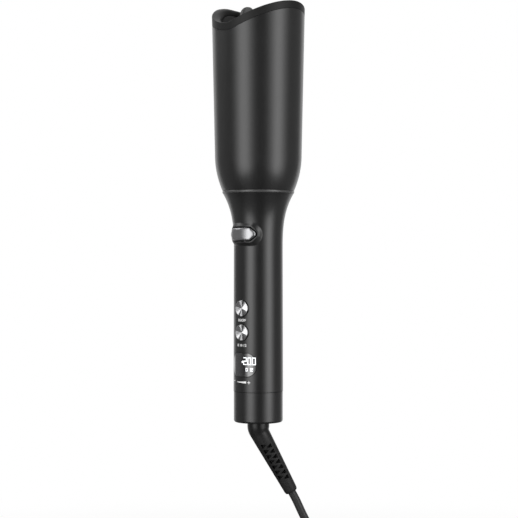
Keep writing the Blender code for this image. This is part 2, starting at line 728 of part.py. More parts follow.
def panel_columns(half_length, half_height, corner, edge, tip):
    """Columns of a panel, unrolled: distance from its middle, half height, and how far its face is
    drawn back there by the rounded edge. The ends are round, or run straight to a blunt tip."""
    straight = half_length - corner
    offsets = [(straight * step / PANEL_COLUMNS, half_height) for step in range(PANEL_COLUMNS)]
    for step in range(PANEL_END_STEPS):
        turn = math.pi / 2 * step / PANEL_END_STEPS
        rise = corner * (1 - (1 - tip) * math.sin(turn) if tip else math.cos(turn))
        offsets.append((straight + corner * math.sin(turn), half_height - corner + rise))
    side = []
    for offset, height in offsets:
        lack = max(edge - (half_length - offset), 0)
        side.append((offset, height, lack))
    other = [(-offset, height, lack) for offset, height, lack in reversed(side[1:])]
    return other + side


def panel(name, z, inner, outer, half_length, half_height, corner, edge=0, tip=0):
    """A panel that bends round the handle's axis. half_length is measured along its face."""
    sections = []
    for offset, height, lack in panel_columns(half_length, half_height, corner, edge, tip):
        angle = math.degrees(offset / outer)
        face = outer - lack
        soft = min(edge, height / 2)
        section = [(inner, -height), (outer - edge, -height), (face, soft - height)]
        section += [(face, height - soft), (outer - edge, height), (inner, height)]
        if not edge:
            section = [section[0], section[1], section[4], section[5]]
        sections.append([round_axis(angle, radius, z + level) for radius, level in section])
    return loft(name, sections)


def panel_hole(name, z, outer, half_length, half_height, corner, depth):
    """The cutter for a hole that takes a panel, larger all round by the clearance."""
    grown = (half_length + CLEARANCE) * (outer + OVERRUN) / outer
    return panel(
        name, z, outer - depth, outer + OVERRUN, grown, half_height + CLEARANCE, corner + CLEARANCE
    )


def arc(radius, angle):
    return radius * math.radians(angle)


def make_handle():
    """The handle and neck in one tube, with its holes, and the window of the display."""
    outside = [NECK_TOP_Z - NECK_LENGTH * (1 - share) for share in reversed(NECK_ROW_SHARES)]
    profile = [(BAND_RADIUS, BAND_TOP_Z), (BAND_RADIUS, NECK_TOP_Z)]
    profile += [(handle_radius(z), z) for z in outside]
    profile += [(handle_radius(HANDLE_TOP_Z), HANDLE_TOP_Z), (handle_radius(HANDLE_FOOT_Z), HANDLE_FOOT_Z)]
    within = [HANDLE_FOOT_Z, HANDLE_TOP_Z]
    within += [HANDLE_TOP_Z + NECK_LENGTH * share for share in NECK_INNER_SHARES]
    profile += [(inside(handle_radius, z, HANDLE_WALL), z) for z in within]
    profile.append((inside(handle_radius, NECK_TOP_Z, HANDLE_WALL), BAND_TOP_Z))
    tube = turned("handle_tube", profile)

    display_radius = handle_radius(DISPLAY_Z)
    display = (arc(display_radius, DISPLAY_HALF_ANGLE), DISPLAY_HALF_HEIGHT, DISPLAY_CORNER)
    depth = HANDLE_WALL + OVERRUN
    combine(tube, panel_hole("display_hole", DISPLAY_Z, display_radius, *display, depth))
    bezel_radius = handle_radius(ROCKER_Z) + BEZEL_STANDOUT
    bezel = (arc(bezel_radius, BEZEL_HALF_ANGLE), BEZEL_HALF_HEIGHT, BEZEL_HALF_HEIGHT)
    combine(tube, panel_hole("rocker_hole", ROCKER_Z, bezel_radius, *bezel, depth + BEZEL_STANDOUT))
    for name, z in (("timer_hole", TIMER_BUTTON_Z), ("power_hole", POWER_BUTTON_Z)):
        hole = rod(name, BUTTON_RADIUS + RUNNING_GAP, 0, HANDLE_INNER_RADIUS, SMALL_STEPS)
        combine(tube, face_front(hole, BOARD_DEPTH, z))
    piece(tube, "satin_black")

    inner = display_radius - DISPLAY_THICKNESS
    window = panel("display_window", DISPLAY_Z, inner, display_radius, *display, DISPLAY_EDGE)
    piece(window, "gloss_black")


def make_rocker():
    """The mound on the neck, the plate that tilts in it, their pin, and the switch behind them."""
    neck = handle_radius(ROCKER_Z)
    bezel_face = neck + BEZEL_STANDOUT
    bezel_inner = bezel_face - BEZEL_DEPTH
    face = neck + ROCKER_STANDOUT
    half_length = arc(face, ROCKER_HALF_ANGLE)
    outline = (arc(bezel_face, BEZEL_HALF_ANGLE), BEZEL_HALF_HEIGHT, BEZEL_HALF_HEIGHT)
    frame = panel("rocker_bezel", ROCKER_Z, bezel_inner, bezel_face, *outline, BEZEL_EDGE)
    half_turn = math.radians(ROCKER_HALF_ANGLE)
    end_across = face * math.sin(half_turn)
    end_ahead = face * math.cos(half_turn) - ROCKER_PIN_DEPTH
    swept = end_across * math.sin(half_turn) + end_ahead * math.cos(half_turn)
    end_gap = swept * math.sin(math.radians(ROCKER_TILT)) + CLEARANCE
    opening_half_height = ROCKER_HALF_HEIGHT + ROCKER_GAP
    opening = panel(
        "rocker_opening",
        ROCKER_Z,
        bezel_inner - OVERRUN,
        face + OVERRUN,
        (half_length + end_gap) * (face + OVERRUN) / face,
        opening_half_height,
        opening_half_height,
        tip=ROCKER_TIP_SHARE,
    )
    combine(frame, opening)
    pin_hole = ROCKER_PIN_RADIUS + CLEARANCE
    lug_back = -ROCKER_PIN_DEPTH + pin_hole + ROCKER_BOSS_WALL
    lug_top = opening_half_height + LUG_HEIGHT
    for name, low, high in (
        ("upper_lug", opening_half_height, lug_top),
        ("lower_lug", -lug_top, -opening_half_height),
    ):
        corner = (-LUG_WIDTH / 2, -bezel_inner - ROCKER_BOSS_WALL, ROCKER_Z + low)
        lug = box(name, corner, (LUG_WIDTH / 2, lug_back, ROCKER_Z + high))
        combine(frame, lug, "UNION")
    bore = rod("rocker_bore", pin_hole, ROCKER_Z - neck, ROCKER_Z + neck, TINY_STEPS)
    bore.location.y = -ROCKER_PIN_DEPTH
    combine(frame, bore)
    piece(frame, "satin_black")

    plate_inner = face - ROCKER_THICKNESS
    plate = panel(
        "direction_rocker",
        ROCKER_Z,
        plate_inner,
        face,
        half_length,
        ROCKER_HALF_HEIGHT,
        ROCKER_HALF_HEIGHT,
        ROCKER_EDGE,
        ROCKER_TIP_SHARE,
    )
    stem_half_height = ROCKER_HALF_HEIGHT - ROCKER_EDGE
    boss = rod(
        "rocker_boss",
        pin_hole + ROCKER_BOSS_WALL,
        ROCKER_Z - stem_half_height,
        ROCKER_Z + stem_half_height,
        TINY_STEPS,
    )
    boss.location.y = -ROCKER_PIN_DEPTH
    combine(plate, boss, "UNION")
    stem = box(
        "rocker_stem",
        (-ROCKER_STEM_WIDTH / 2, -plate_inner - ROCKER_EDGE, ROCKER_Z - stem_half_height),
        (ROCKER_STEM_WIDTH / 2, -ROCKER_PIN_DEPTH, ROCKER_Z + stem_half_height),
    )
    combine(plate, stem, "UNION")
    arm_back = lug_back + ROCKER_EDGE
    arm = box(
        "rocker_arm",
        (-ROCKER_ARM, arm_back - ROCKER_ARM_THICKNESS, ROCKER_Z - ROCKER_ARM_HEIGHT / 2),
        (ROCKER_ARM, arm_back, ROCKER_Z + ROCKER_ARM_HEIGHT / 2),
    )
    combine(plate, arm, "UNION")
    plate_bore = rod("plate_bore", pin_hole, ROCKER_Z - neck, ROCKER_Z + neck, TINY_STEPS)
    plate_bore.location.y = -ROCKER_PIN_DEPTH
    combine(plate, plate_bore)
    piece(plate, "chrome", ROCKER_AXIS)

    pin = rod("rocker_pin", ROCKER_PIN_RADIUS, ROCKER_Z - lug_top, ROCKER_Z + lug_top, TINY_STEPS)
    pin.location.y = -ROCKER_PIN_DEPTH
    piece(pin, "steel")

    swing = ROCKER_ARM * math.sin(math.radians(ROCKER_TILT))
    plunger_front = arm_back + swing + CLEARANCE
    board = -BOARD_DEPTH - CLEARANCE
    body_front = plunger_front + PLUNGER_HEIGHT
    switch = box(
        "rocker_switch",
        (-ROCKER_ARM - PLUNGER_RADIUS, body_front, ROCKER_Z - ROCKER_ARM_HEIGHT),
        (ROCKER_ARM + PLUNGER_RADIUS, board, ROCKER_Z + ROCKER_ARM_HEIGHT),
    )
    for name, side in (("left_plunger", -1), ("right_plunger", 1)):
        middle = side * (ROCKER_ARM - PLUNGER_RADIUS)
        plunger = box(
            name,
            (middle - PLUNGER_RADIUS / 2, plunger_front, ROCKER_Z - PLUNGER_RADIUS / 2),
            (middle + PLUNGER_RADIUS / 2, body_front + PLUNGER_HEIGHT, ROCKER_Z + PLUNGER_RADIUS / 2),
        )
        combine(switch, plunger, "UNION")
    piece(switch, "grey_plastic")


def make_button(name, switch_name, z, axis):
    """A round push button with a spun, dished face, retained by a flange, over its small switch."""
    face = handle_radius(z) + BUTTON_STANDOUT
    flange_radius = BUTTON_RADIUS + BUTTON_FLANGE
    flange_front = math.sqrt(HANDLE_INNER_RADIUS**2 - flange_radius**2) - CLEARANCE
    flange_back = flange_front - BUTTON_FLANGE_THICKNESS
    stem_end = flange_back - BUTTON_STEM_LENGTH
    hollow, rim = (BUTTON_RADIUS * share for share in BUTTON_RING_SHARES)
    button = turned(
        name,
        [
            (0, face - BUTTON_DISH),
            (hollow, face - BUTTON_DISH),
            (rim, face),
            (BUTTON_RADIUS, face - BUTTON_EDGE),
            (BUTTON_RADIUS, flange_front),
            (flange_radius, flange_front),
            (flange_radius, flange_back),
            (BUTTON_STEM_RADIUS, flange_back),
            (BUTTON_STEM_RADIUS, stem_end),
            (0, stem_end),
        ],
        SMALL_STEPS,
        closed=False,
    )
    piece(face_front(button, 0, z), "spun_steel", axis)

    plunger_front = stem_end - BUTTON_TRAVEL - CLEARANCE
    body_front = plunger_front - PLUNGER_HEIGHT
    half = SWITCH_SIZE / 2
    switch = box(switch_name, (-half, -body_front, z - half), (half, -BOARD_DEPTH - CLEARANCE, z + half))
    plunger = rod(switch_name + "_plunger", PLUNGER_RADIUS, BOARD_DEPTH, plunger_front, TINY_STEPS)
    combine(switch, face_front(plunger, 0, z), "UNION")
    piece(switch, "grey_plastic")


# Inside the handle


def screw_holes(name, places, low, high):
    """One cutter with a round hole at each place."""
    first = None
    for i, place in enumerate(places):
        hole = rod(f"{name}_{i + 1}", SCREW_HOLE_RADIUS, low, high, TINY_STEPS)
        hole.location.x = place[0]
        hole.location.y = place[1]
        if first is None:
            first = hole
        else:
            combine(first, hole, "UNION")
    return first


def screw(name, place, under_head, finish="steel", carrier=ROOT):
    """A pan-head screw that points down, its head standing on a face at under_head."""
    seat = under_head + CLEARANCE
    profile = [
        (0, seat + SCREW_HEAD_HEIGHT),
        (SCREW_HEAD_RADIUS * math.cos(math.pi / 6), seat + SCREW_HEAD_HEIGHT),
        (SCREW_HEAD_RADIUS, seat + SCREW_HEAD_HEIGHT / 2),
        (SCREW_HEAD_RADIUS, seat),
        (SCREW_RADIUS, seat),
        (SCREW_RADIUS, seat - SCREW_LENGTH),
        (0, seat - SCREW_LENGTH),
    ]
    fastener = turned(name, profile, TINY_STEPS, closed=False)
    fastener.location.x = place[0]
    fastener.location.y = place[1]
    piece(fastener, finish, carrier)


CHASSIS_SCREW_Y = (CHASSIS_BACK + RAIL_BACK) / 2
CHASSIS_SCREWS = ((-CHASSIS_SCREW_OFFSET, CHASSIS_SCREW_Y), (CHASSIS_SCREW_OFFSET, CHASSIS_SCREW_Y))


def make_chassis():
    """A C-shaped frame behind the control board, screwed to the tail core by its foot."""
    half = CHASSIS_HALF_WIDTH
    web = half - CHASSIS_THICKNESS
    outline = [
        (-half, CHASSIS_FRONT),
        (half, CHASSIS_FRONT),
        (half, RAIL_BACK),
        (web, RAIL_BACK),
        (web, CHASSIS_BACK),
        (-web, CHASSIS_BACK),
        (-web, RAIL_BACK),
        (-half, RAIL_BACK),
    ]
    curve = bpy.data.curves.new("chassis", "CURVE")
    curve.dimensions = "2D"
    curve.fill_mode = "BOTH"
    curve.extrude = (FRAME_TOP_Z - CHASSIS_Z) / 2
    line = curve.splines.new("POLY")
    line.points.add(len(outline) - 1)
    for point, (x, y) in zip(line.points, outline):
        point.co = (x, y, 0, 1)
    line.use_cyclic_u = True
    guide = new_object("chassis_section", curve)
    channel = new_object("chassis", evaluated_mesh(guide))
    bpy.data.objects.remove(guide, do_unlink=True)
    channel.location.z = (FRAME_TOP_Z + CHASSIS_Z) / 2
    foot_width, foot_depth = CHASSIS_FOOT_SIZE
    foot = box(
        "chassis_foot",
        (-foot_width / 2, CHASSIS_FRONT + CLEARANCE, CHASSIS_Z),
        (foot_width / 2, CHASSIS_BACK + foot_depth, CHASSIS_Z + CHASSIS_FOOT_THICKNESS),
    )
    combine(channel, foot, "UNION")
    low = CHASSIS_Z - OVERRUN
    high = CHASSIS_Z + CHASSIS_FOOT_THICKNESS + OVERRUN
    combine(channel, screw_holes("chassis_hole", CHASSIS_SCREWS, low, high))
    piece(channel, "grey_plastic")
    for i, place in enumerate(CHASSIS_SCREWS):
        screw(f"chassis_screw_{i + 1}", place, CHASSIS_Z + CHASSIS_FOOT_THICKNESS)


def make_boards():
    """The control board with its display module, and the power board with its tall components."""
    board = box(
        "control_board",
        (-BOARD_HALF_WIDTH, -BOARD_DEPTH, BOARD_Z),
        (BOARD_HALF_WIDTH, BOARD_BACK, FRAME_TOP_Z),
    )
    piece(board, "board_green")
    width, height = LCD_SIZE
    front = math.sqrt((HANDLE_INNER_RADIUS - CLEARANCE) ** 2 - width**2 / 4)
    lcd = box(
        "lcd_module",
        (-width / 2, -front, DISPLAY_Z - height / 2),
        (width / 2, -BOARD_DEPTH - CLEARANCE, DISPLAY_Z + height / 2),
    )
    piece(lcd, "grey_plastic")

    power = box(
        "power_board",
        (-POWER_HALF_WIDTH, POWER_BOARD_FRONT, BOARD_Z),
        (POWER_HALF_WIDTH, POWER_BOARD_BACK, FRAME_TOP_Z),
    )
    piece(power, "board_green")
    seat = POWER_BOARD_BACK + CLEARANCE
    for name, share, z, length in (
        ("capacitor_large", CAPACITOR_LARGE_SHARE, CAPACITOR_LARGE_Z, CAPACITOR_LARGE_HEIGHT),
        ("capacitor_small", CAPACITOR_SMALL_SHARE, CAPACITOR_SMALL_Z, CAPACITOR_SMALL_HEIGHT),
    ):
        radius = REAR_SPACE * share
        can = rod(name, radius, z - length / 2, z + length / 2, SMALL_STEPS, CAPACITOR_EDGE)
        can.location.y = seat + radius
        piece(can, "aluminium")
    width, height = TRANSFORMER_SIZE
    core = box(
        "transformer",
        (-width / 2, seat, TRANSFORMER_Z - height / 2),
        (width / 2, seat + REAR_SPACE * TRANSFORMER_DEPTH_SHARE, TRANSFORMER_Z + height / 2),
    )
    piece(core, "grey_plastic")


def make_tail():
    """The end ring, the core it turns on, the ring that holds the cord's swivel in, the encoder."""
    bead_top = DIAL_BEAD_Z + DIAL_BEAD_HEIGHT
    bead_radius = DIAL_INNER_RADIUS - DIAL_BEAD
    slant = DIAL_EDGE * (1 - math.sqrt(0.5))
    dial = turned(
        "temperature_dial",
        [
            (DIAL_RADIUS, DIAL_HEIGHT),
            (DIAL_RADIUS, DIAL_EDGE),
            (DIAL_RADIUS - slant, slant),
            (DIAL_RADIUS - DIAL_EDGE, 0),
            (BOOT_HOLE_RADIUS, 0),
            (BOOT_HOLE_RADIUS, DIAL_FLOOR),
            (DIAL_INNER_RADIUS, DIAL_FLOOR),
            (DIAL_INNER_RADIUS, DIAL_BEAD_Z),
            (bead_radius, DIAL_BEAD_Z),
            (bead_radius, bead_top),
            (DIAL_INNER_RADIUS, bead_top),
            (DIAL_INNER_RADIUS, DIAL_HEIGHT),
        ],
    )
    piece(dial, "satin_black", DIAL_AXIS)

    retainer_radius = CORE_RADIUS
    piece(
        ring("swivel_retainer", BOOT_HOLE_RADIUS, retainer_radius, RETAINER_Z, RETAINER_TOP_Z, CORE_STEPS),
        "grey_plastic",
    )
    groove_radius = bead_radius - RUNNING_GAP
    groove_low = DIAL_BEAD_Z - CORE_GROOVE_SLACK
    groove_high = bead_top + CORE_GROOVE_SLACK
    socket = BOOT_FLANGE_RADIUS + RUNNING_GAP
    socket_top = BOOT_FLANGE_TOP_Z + RUNNING_GAP
    core = turned(
        "tail_core",
        [
            (CORE_RADIUS, CORE_TOP),
            (CORE_RADIUS, groove_high),
            (groove_radius, groove_high),
            (groove_radius, groove_low),
            (CORE_RADIUS, groove_low),
            (CORE_RADIUS, CORE_Z),
            (socket, CORE_Z),
            (socket, socket_top),
            (CORE_WIRE_RADIUS, socket_top),
            (CORE_WIRE_RADIUS, CORE_TOP),
        ],
        CORE_STEPS,
    )
    hole_foot = CHASSIS_Z + CHASSIS_FOOT_THICKNESS - SCREW_LENGTH - CLEARANCE
    combine(core, screw_holes("core_hole", CHASSIS_SCREWS, hole_foot, CORE_TOP + OVERRUN))
    piece(core, "grey_plastic")
    encoder = ring("dial_encoder", ENCODER_HOLE_RADIUS, CORE_RADIUS, ENCODER_Z, CHASSIS_Z - CLEARANCE, CORE_STEPS)
    combine(encoder, screw_holes("encoder_hole", CHASSIS_SCREWS, CORE_TOP, CHASSIS_Z + OVERRUN))
    piece(encoder, "board_green")


# Drive and rotor

MOTOR_SCREWS = tuple(
    round_axis(180 + 360 * i / MOTOR_SCREW_COUNT, MOTOR_SCREW_CIRCLE, 0)[:2]
    for i in range(MOTOR_SCREW_COUNT)
)


def make_drive():
    """Motor, gearbox and the plate that carries them in the bowl of the head."""
    can = turned(
        "motor_can",
        [
            (0, MOTOR_TOP_Z),
            (MOTOR_RADIUS, MOTOR_TOP_Z),
            (MOTOR_RADIUS, MOTOR_Z + MOTOR_EDGE),
            (MOTOR_RADIUS - MOTOR_EDGE, MOTOR_Z),
            (MOTOR_BOSS_RADIUS, MOTOR_Z),
            (MOTOR_BOSS_RADIUS, MOTOR_Z - MOTOR_BOSS_HEIGHT),
            (0, MOTOR_Z - MOTOR_BOSS_HEIGHT),
        ],
        SMALL_STEPS,
        closed=False,
    )
    piece(can, "steel")

    gearbox_top = GEARBOX_Z + GEARBOX_HEIGHT
    gearbox = rod("gearbox", GEARBOX_RADIUS, GEARBOX_Z, gearbox_top, SMALL_STEPS, MOTOR_EDGE)
    hole_foot = MOTOR_PLATE_TOP_Z - SCREW_LENGTH - CLEARANCE
    combine(gearbox, screw_holes("gearbox_hole", MOTOR_SCREWS, hole_foot, gearbox_top + OVERRUN))
    piece(gearbox, "steel")

    plate_radius = inside(head_radius, MOTOR_PLATE_Z, HEAD_WALL) - CLEARANCE
    plate = ring(
        "motor_plate", GEARBOX_NOSE_RADIUS, plate_radius, MOTOR_PLATE_Z, MOTOR_PLATE_TOP_Z, ROUND_STEPS
    )
    low = MOTOR_PLATE_Z - OVERRUN
    combine(plate, screw_holes("plate_hole", MOTOR_SCREWS, low, MOTOR_PLATE_TOP_Z + OVERRUN))
    piece(plate, "aluminium")
    for i, place in enumerate(MOTOR_SCREWS):
        screw(f"motor_screw_{i + 1}", place, MOTOR_PLATE_TOP_Z)

    flange = BEARING_RADIUS + BEARING_FLANGE
    bearing = turned(
        "floor_bearing",
        [
            (BEARING_RADIUS, BEARING_TOP_Z),
            (BEARING_RADIUS, BEARING_FLANGE_TOP_Z),
            (flange, BEARING_FLANGE_TOP_Z),
            (flange, BEARING_FOOT_Z),
            (SHAFT_BORE, BEARING_FOOT_Z),
            (SHAFT_BORE, BEARING_TOP_Z),
        ],
        SMALL_STEPS,
    )
    piece(bearing, "copper")


def make_slip_rings():
    """The insulating hub with its two rings, and the block whose brushes meet them."""
    collar = HUB_RADIUS + RING_DEPTH
    groove = RING_HEIGHT + 2 * CLEARANCE
    land = (HUB_TOP_Z - HUB_Z - 2 * groove) / 3
    upper = HUB_TOP_Z - land
    lower = HUB_Z + land
    hub = turned(
        "slip_ring_hub",
        [
            (collar, HUB_TOP_Z),
            (collar, upper),
            (HUB_RADIUS, upper),
            (HUB_RADIUS, upper - groove),
            (collar, upper - groove),
            (collar, lower + groove),
            (HUB_RADIUS, lower + groove),
            (HUB_RADIUS, lower),
            (collar, lower),
            (collar, HUB_Z),
            (SHAFT_BORE, HUB_Z),
            (SHAFT_BORE, HUB_TOP_Z),
        ],
        SMALL_STEPS,
    )
    piece(hub, "grey_plastic", ROTOR_AXIS)
    ring_inner = HUB_RADIUS + CLEARANCE
    ring_outer = collar + CLEARANCE
    levels = (lower + CLEARANCE, upper - groove + CLEARANCE)
    for name, low in zip(("slip_ring_lower", "slip_ring_upper"), levels):
        piece(
            ring(name, ring_inner, ring_outer, low, low + RING_HEIGHT, SMALL_STEPS), "copper", ROTOR_AXIS
        )

    depth, width = BRUSH_BLOCK_SIZE
    reach = ring_outer + CLEARANCE
    block_start = reach + BRUSH_STICK
    block = box(
        "brush_block",
        (block_start, -width / 2, MOTOR_PLATE_TOP_Z + CLEARANCE),
        (block_start + depth, width / 2, HUB_TOP_Z),
    )
    for name, low in zip(("lower_brush", "upper_brush"), levels):
        middle = low + RING_HEIGHT / 2
        brush = box(
            name,
            (reach, -BRUSH_HEIGHT, middle - BRUSH_HEIGHT / 2),
            (block_start + depth / 2, BRUSH_HEIGHT, middle + BRUSH_HEIGHT / 2),
        )
        combine(block, brush, "UNION")
    piece(block, "grey_plastic")


def half_round(name, radius, flat, low, high, side):
    """A D-shaped bar: a round bar whose one side is cut flat at a distance from the axis."""
    bar = rod(name, radius, low, high, SMALL_STEPS)
    cut_low = (-radius - OVERRUN, -radius - OVERRUN, low - OVERRUN)
    cut_high = (radius + OVERRUN, flat, high + OVERRUN)
    if side < 0:
        cut_low = (-radius - OVERRUN, -flat, low - OVERRUN)
        cut_high = (radius + OVERRUN, radius + OVERRUN, high + OVERRUN)
    return combine(bar, box(name + "_cut", cut_low, cut_high))


def make_rotor():
    """All that turns: shaft, turntable, heated barrel, heater and the cap with its two claws."""
    shaft_foot = MOTOR_PLATE_Z
    piece(rod("drive_shaft", SHAFT_RADIUS, shaft_foot, ROTOR_BOSS_TOP_Z, SMALL_STEPS), "steel", ROTOR_AXIS)
    boss = CORE_FIT_RADIUS
    base = turned(
        "rotor_base",
        [
            (boss, ROTOR_BOSS_TOP_Z),
            (boss, ROTOR_BASE_TOP_Z),
            (ROTOR_BASE_RADIUS, ROTOR_BASE_TOP_Z),
            (ROTOR_BASE_RADIUS, ROTOR_BASE_Z),
            (SHAFT_BORE, ROTOR_BASE_Z),
            (SHAFT_BORE, ROTOR_BOSS_TOP_Z),
        ],
        CORE_STEPS,
    )
    piece(base, "grey_plastic", ROTOR_AXIS)
    barrel = ring("curling_barrel", BARREL_INNER_RADIUS, BARREL_RADIUS, BARREL_Z, BARREL_TOP_Z, CORE_STEPS)
    piece(barrel, "ceramic", ROTOR_AXIS)

    heater_foot = ROTOR_BOSS_TOP_Z + CLEARANCE
    heater_top = min(heater_foot + HEATER_LENGTH, CLAW_PLATE_Z - CLAW_SPIGOT - CLEARANCE)
    flat = HEATER_PLATE_THICKNESS / 2 + CLEARANCE
    for name, side in (("heater_block_rear", 1), ("heater_block_front", -1)):
        block = half_round(name, CORE_FIT_RADIUS, flat, heater_foot, heater_top, side)
        piece(block, "aluminium", ROTOR_AXIS)
    plate_half = CORE_FIT_RADIUS - BARREL_WALL
    heater = box(
        "ptc_heater",
        (-plate_half, -HEATER_PLATE_THICKNESS / 2, heater_foot),
        (plate_half, HEATER_PLATE_THICKNESS / 2, heater_top),
    )
    piece(heater, "white_plastic", ROTOR_AXIS)
    make_claw_cap()


def claw(name, angle):
    """One claw: a curved blade with a rounded tip, standing on the edge of the cap."""
    low = CLAW_PLATE_Z + CLAW_PLATE_THICKNESS / 2
    height = CLAW_TOP_Z - low
    half_angle = math.degrees(CLAW_HALF_WIDTH / CLAW_OUTER_RADIUS)
    inner = CLAW_OUTER_RADIUS - CLAW_THICKNESS
    sections = []
    for step in range(CLAW_COLUMNS + 1):
        share = math.sin(math.pi / 2 * (2 * step / CLAW_COLUMNS - 1))
        share = min(max(share, -1), 1)
        top = low + height * (1 - abs(share) ** CLAW_ROUNDNESS) ** (1 / CLAW_ROUNDNESS)
        top = max(top, low + 2 * CLAW_EDGE)
        turn = angle + half_angle * share
        soft = top - CLAW_EDGE
        outline = [(inner, low), (CLAW_OUTER_RADIUS, low), (CLAW_OUTER_RADIUS, soft)]
        outline += [(CLAW_OUTER_RADIUS - CLAW_EDGE, top), (inner + CLAW_EDGE, top), (inner, soft)]
        sections.append([round_axis(turn, radius, z) for radius, z in outline])
    return loft(name, sections)


def make_claw_cap():
    """The cap that closes the barrel, with the two claws that catch the hair, and its screw."""
    hole = CAP_SCREW_RADIUS + CLEARANCE
    spigot_foot = CLAW_PLATE_Z - CLAW_SPIGOT
    dome = [(CLAW_OUTER_RADIUS * out, CLAW_PLATE_TOP_Z + CLAW_DOME * up) for out, up in CLAW_DOME_SHARES]
    profile = [(hole, CLAW_DOME_Z)] + dome[::-1]
    profile += [(CLAW_OUTER_RADIUS, CLAW_PLATE_Z), (CORE_FIT_RADIUS, CLAW_PLATE_Z)]
    profile += [(CORE_FIT_RADIUS, spigot_foot), (hole, spigot_foot)]
    cap = turned("claw_cap", profile, CORE_STEPS)
    for name, angle in (("right_claw", CLAW_ANGLE), ("left_claw", -CLAW_ANGLE)):
        combine(cap, claw(name, angle), "UNION")
    piece(cap, "trim_black", ROTOR_AXIS)
    seat = CLAW_DOME_Z + CLEARANCE
    head = CAP_SCREW_HEAD_RADIUS
    fastener = turned(
        "cap_screw",
        [
            (0, seat + CAP_SCREW_HEAD_HEIGHT),
            (head * math.cos(math.pi / 6), seat + CAP_SCREW_HEAD_HEIGHT),
            (head, seat + CAP_SCREW_HEAD_HEIGHT / 2),
            (head, seat),
            (CAP_SCREW_RADIUS, seat),
            (CAP_SCREW_RADIUS, spigot_foot),
            (0, spigot_foot),
        ],
        TINY_STEPS,
        closed=False,
    )
    piece(fastener, "steel", ROTOR_AXIS)


# Cord boot, cord, hank and plug


def in_view_plane(right, forward, z):
    """A point by its distance to the right in the picture's plane, towards the viewer, and height."""
    turn = math.radians(VIEW_ANGLE)
    side = Vector((math.cos(turn), math.sin(turn), 0))
    near = Vector((math.sin(turn), -math.cos(turn), 0))
    return side * right + near * forward + Vector((0, 0, z))


def boot_stations():
    """Centre, direction from the vertical and radius of each section, from the flange to the tip."""
    stations = [
        (0, BOOT_FLANGE_TOP_Z, 0, BOOT_FLANGE_RADIUS),
        (0, CORE_Z, 0, BOOT_FLANGE_RADIUS),
        (0, CORE_Z, 0, BOOT_RADIUS),
    ]
    bend = math.radians(BOOT_BEND_ANGLE)
    for step in range(BOOT_BEND_STEPS + 1):
        share = step / BOOT_BEND_STEPS
        lean = bend * share
        right = BOOT_BEND_RADIUS * (1 - math.cos(lean))
        z = -BOOT_DROP - BOOT_BEND_RADIUS * math.sin(lean)
        ease = share * share * (3 - 2 * share)
        stations.append((right, z, lean, BOOT_RADIUS + (BOOT_WAIST_RADIUS - BOOT_RADIUS) * ease))
    start = stations[-1]
    for run, radius in (
        (BOOT_STRAIGHT / 2, (BOOT_WAIST_RADIUS + BOOT_END_RADIUS) / 2),
        (BOOT_STRAIGHT, BOOT_END_RADIUS),
        (BOOT_STRAIGHT + BOOT_TIP, BOOT_TIP_RADIUS),
    ):
        stations.append((start[0] + run * math.sin(bend), start[1] - run * math.cos(bend), bend, radius))
    return stations


def boot_frame(right, z, lean):
    """Centre of a section, its two cross directions and the way the cord runs."""
    down = in_view_plane(math.sin(lean), 0, -math.cos(lean))
    across = in_view_plane(math.cos(lean), 0, math.sin(lean))
    near = in_view_plane(0, 1, 0)
    return in_view_plane(right, 0, z), across, near, down


def make_boot():
    """The moulded strain relief, with two staggered columns of slots on its front and back."""
    stations = boot_stations()
    sections = []
    for right, z, lean, radius in stations:
        centre, across, near, _ = boot_frame(right, z, lean)
        turns = [2 * math.pi * side / BOOT_SIDES for side in range(BOOT_SIDES)]
        sections.append([centre + (across * math.cos(t) + near * math.sin(t)) * radius for t in turns])
    boot = loft("cord_boot", sections)
    bend_end = stations[-4]
    cutter = None
    for index in range(SLOT_COUNT):
        run = SLOT_START + SLOT_PITCH * index
        share = run / BOOT_STRAIGHT
        radius = BOOT_WAIST_RADIUS + (BOOT_END_RADIUS - BOOT_WAIST_RADIUS) * share
        lean = bend_end[2]
        right = bend_end[0] + run * math.sin(lean)
        z = bend_end[1] - run * math.cos(lean)
        centre, across, near, down = boot_frame(right, z, lean)
        for facing in (-1, 1):
            for column in (-1, 1):
                middle = centre + across * SLOT_STAGGER * column
                middle += down * SLOT_PITCH / 4 * column
                tip = -SLOT_WIDTH / 2 * column
                triangle = [
                    across * tip,
                    across * -tip + down * SLOT_LENGTH / 2,
                    across * -tip - down * SLOT_LENGTH / 2,
                ]
                deep = near * facing * (radius - SLOT_DEPTH)
                past = near * facing * (radius + OVERRUN)
                name = f"boot_slot_{index}_{facing}_{column}"
                wedge = loft(name, [[middle + p + deep for p in triangle], [middle + p + past for p in triangle]])
                if cutter is None:
                    cutter = wedge
                else:
                    combine(cutter, wedge, "UNION")
    combine(boot, cutter)
    piece(boot, "cord_black", SWIVEL_AXIS)
    return stations[-1]


def smooth_route(points, step):
    """Points at an even step along a smooth curve through a route's own points.

    The first and the last stretch of the route stay straight.
    """
    fine = []
    for a, b, c, d in zip(points, points[1:], points[2:], points[3:]):
        for share in np.linspace(0, 1, TINY_STEPS, endpoint=False):
            bend = (a * -1 + b * 3 - c * 3 + d) * share**3 + (a * 2 - b * 5 + c * 4 - d) * share**2
            fine.append((bend + (c - a) * share) / 2 + b)
    fine.append(points[-2])
    walked = [0.0]
    for a, b in zip(fine, fine[1:]):
        walked.append(walked[-1] + (b - a).length)
    count = max(round(walked[-1] / step), 2)
    even = [points[0]]
    for mark in np.linspace(0, walked[-1], count + 1):
        even.append(Vector([np.interp(mark, walked, [p[i] for p in fine]) for i in range(3)]))
    even.append(points[-1])
    return even, sum((b - a).length for a, b in zip(even, even[1:]))


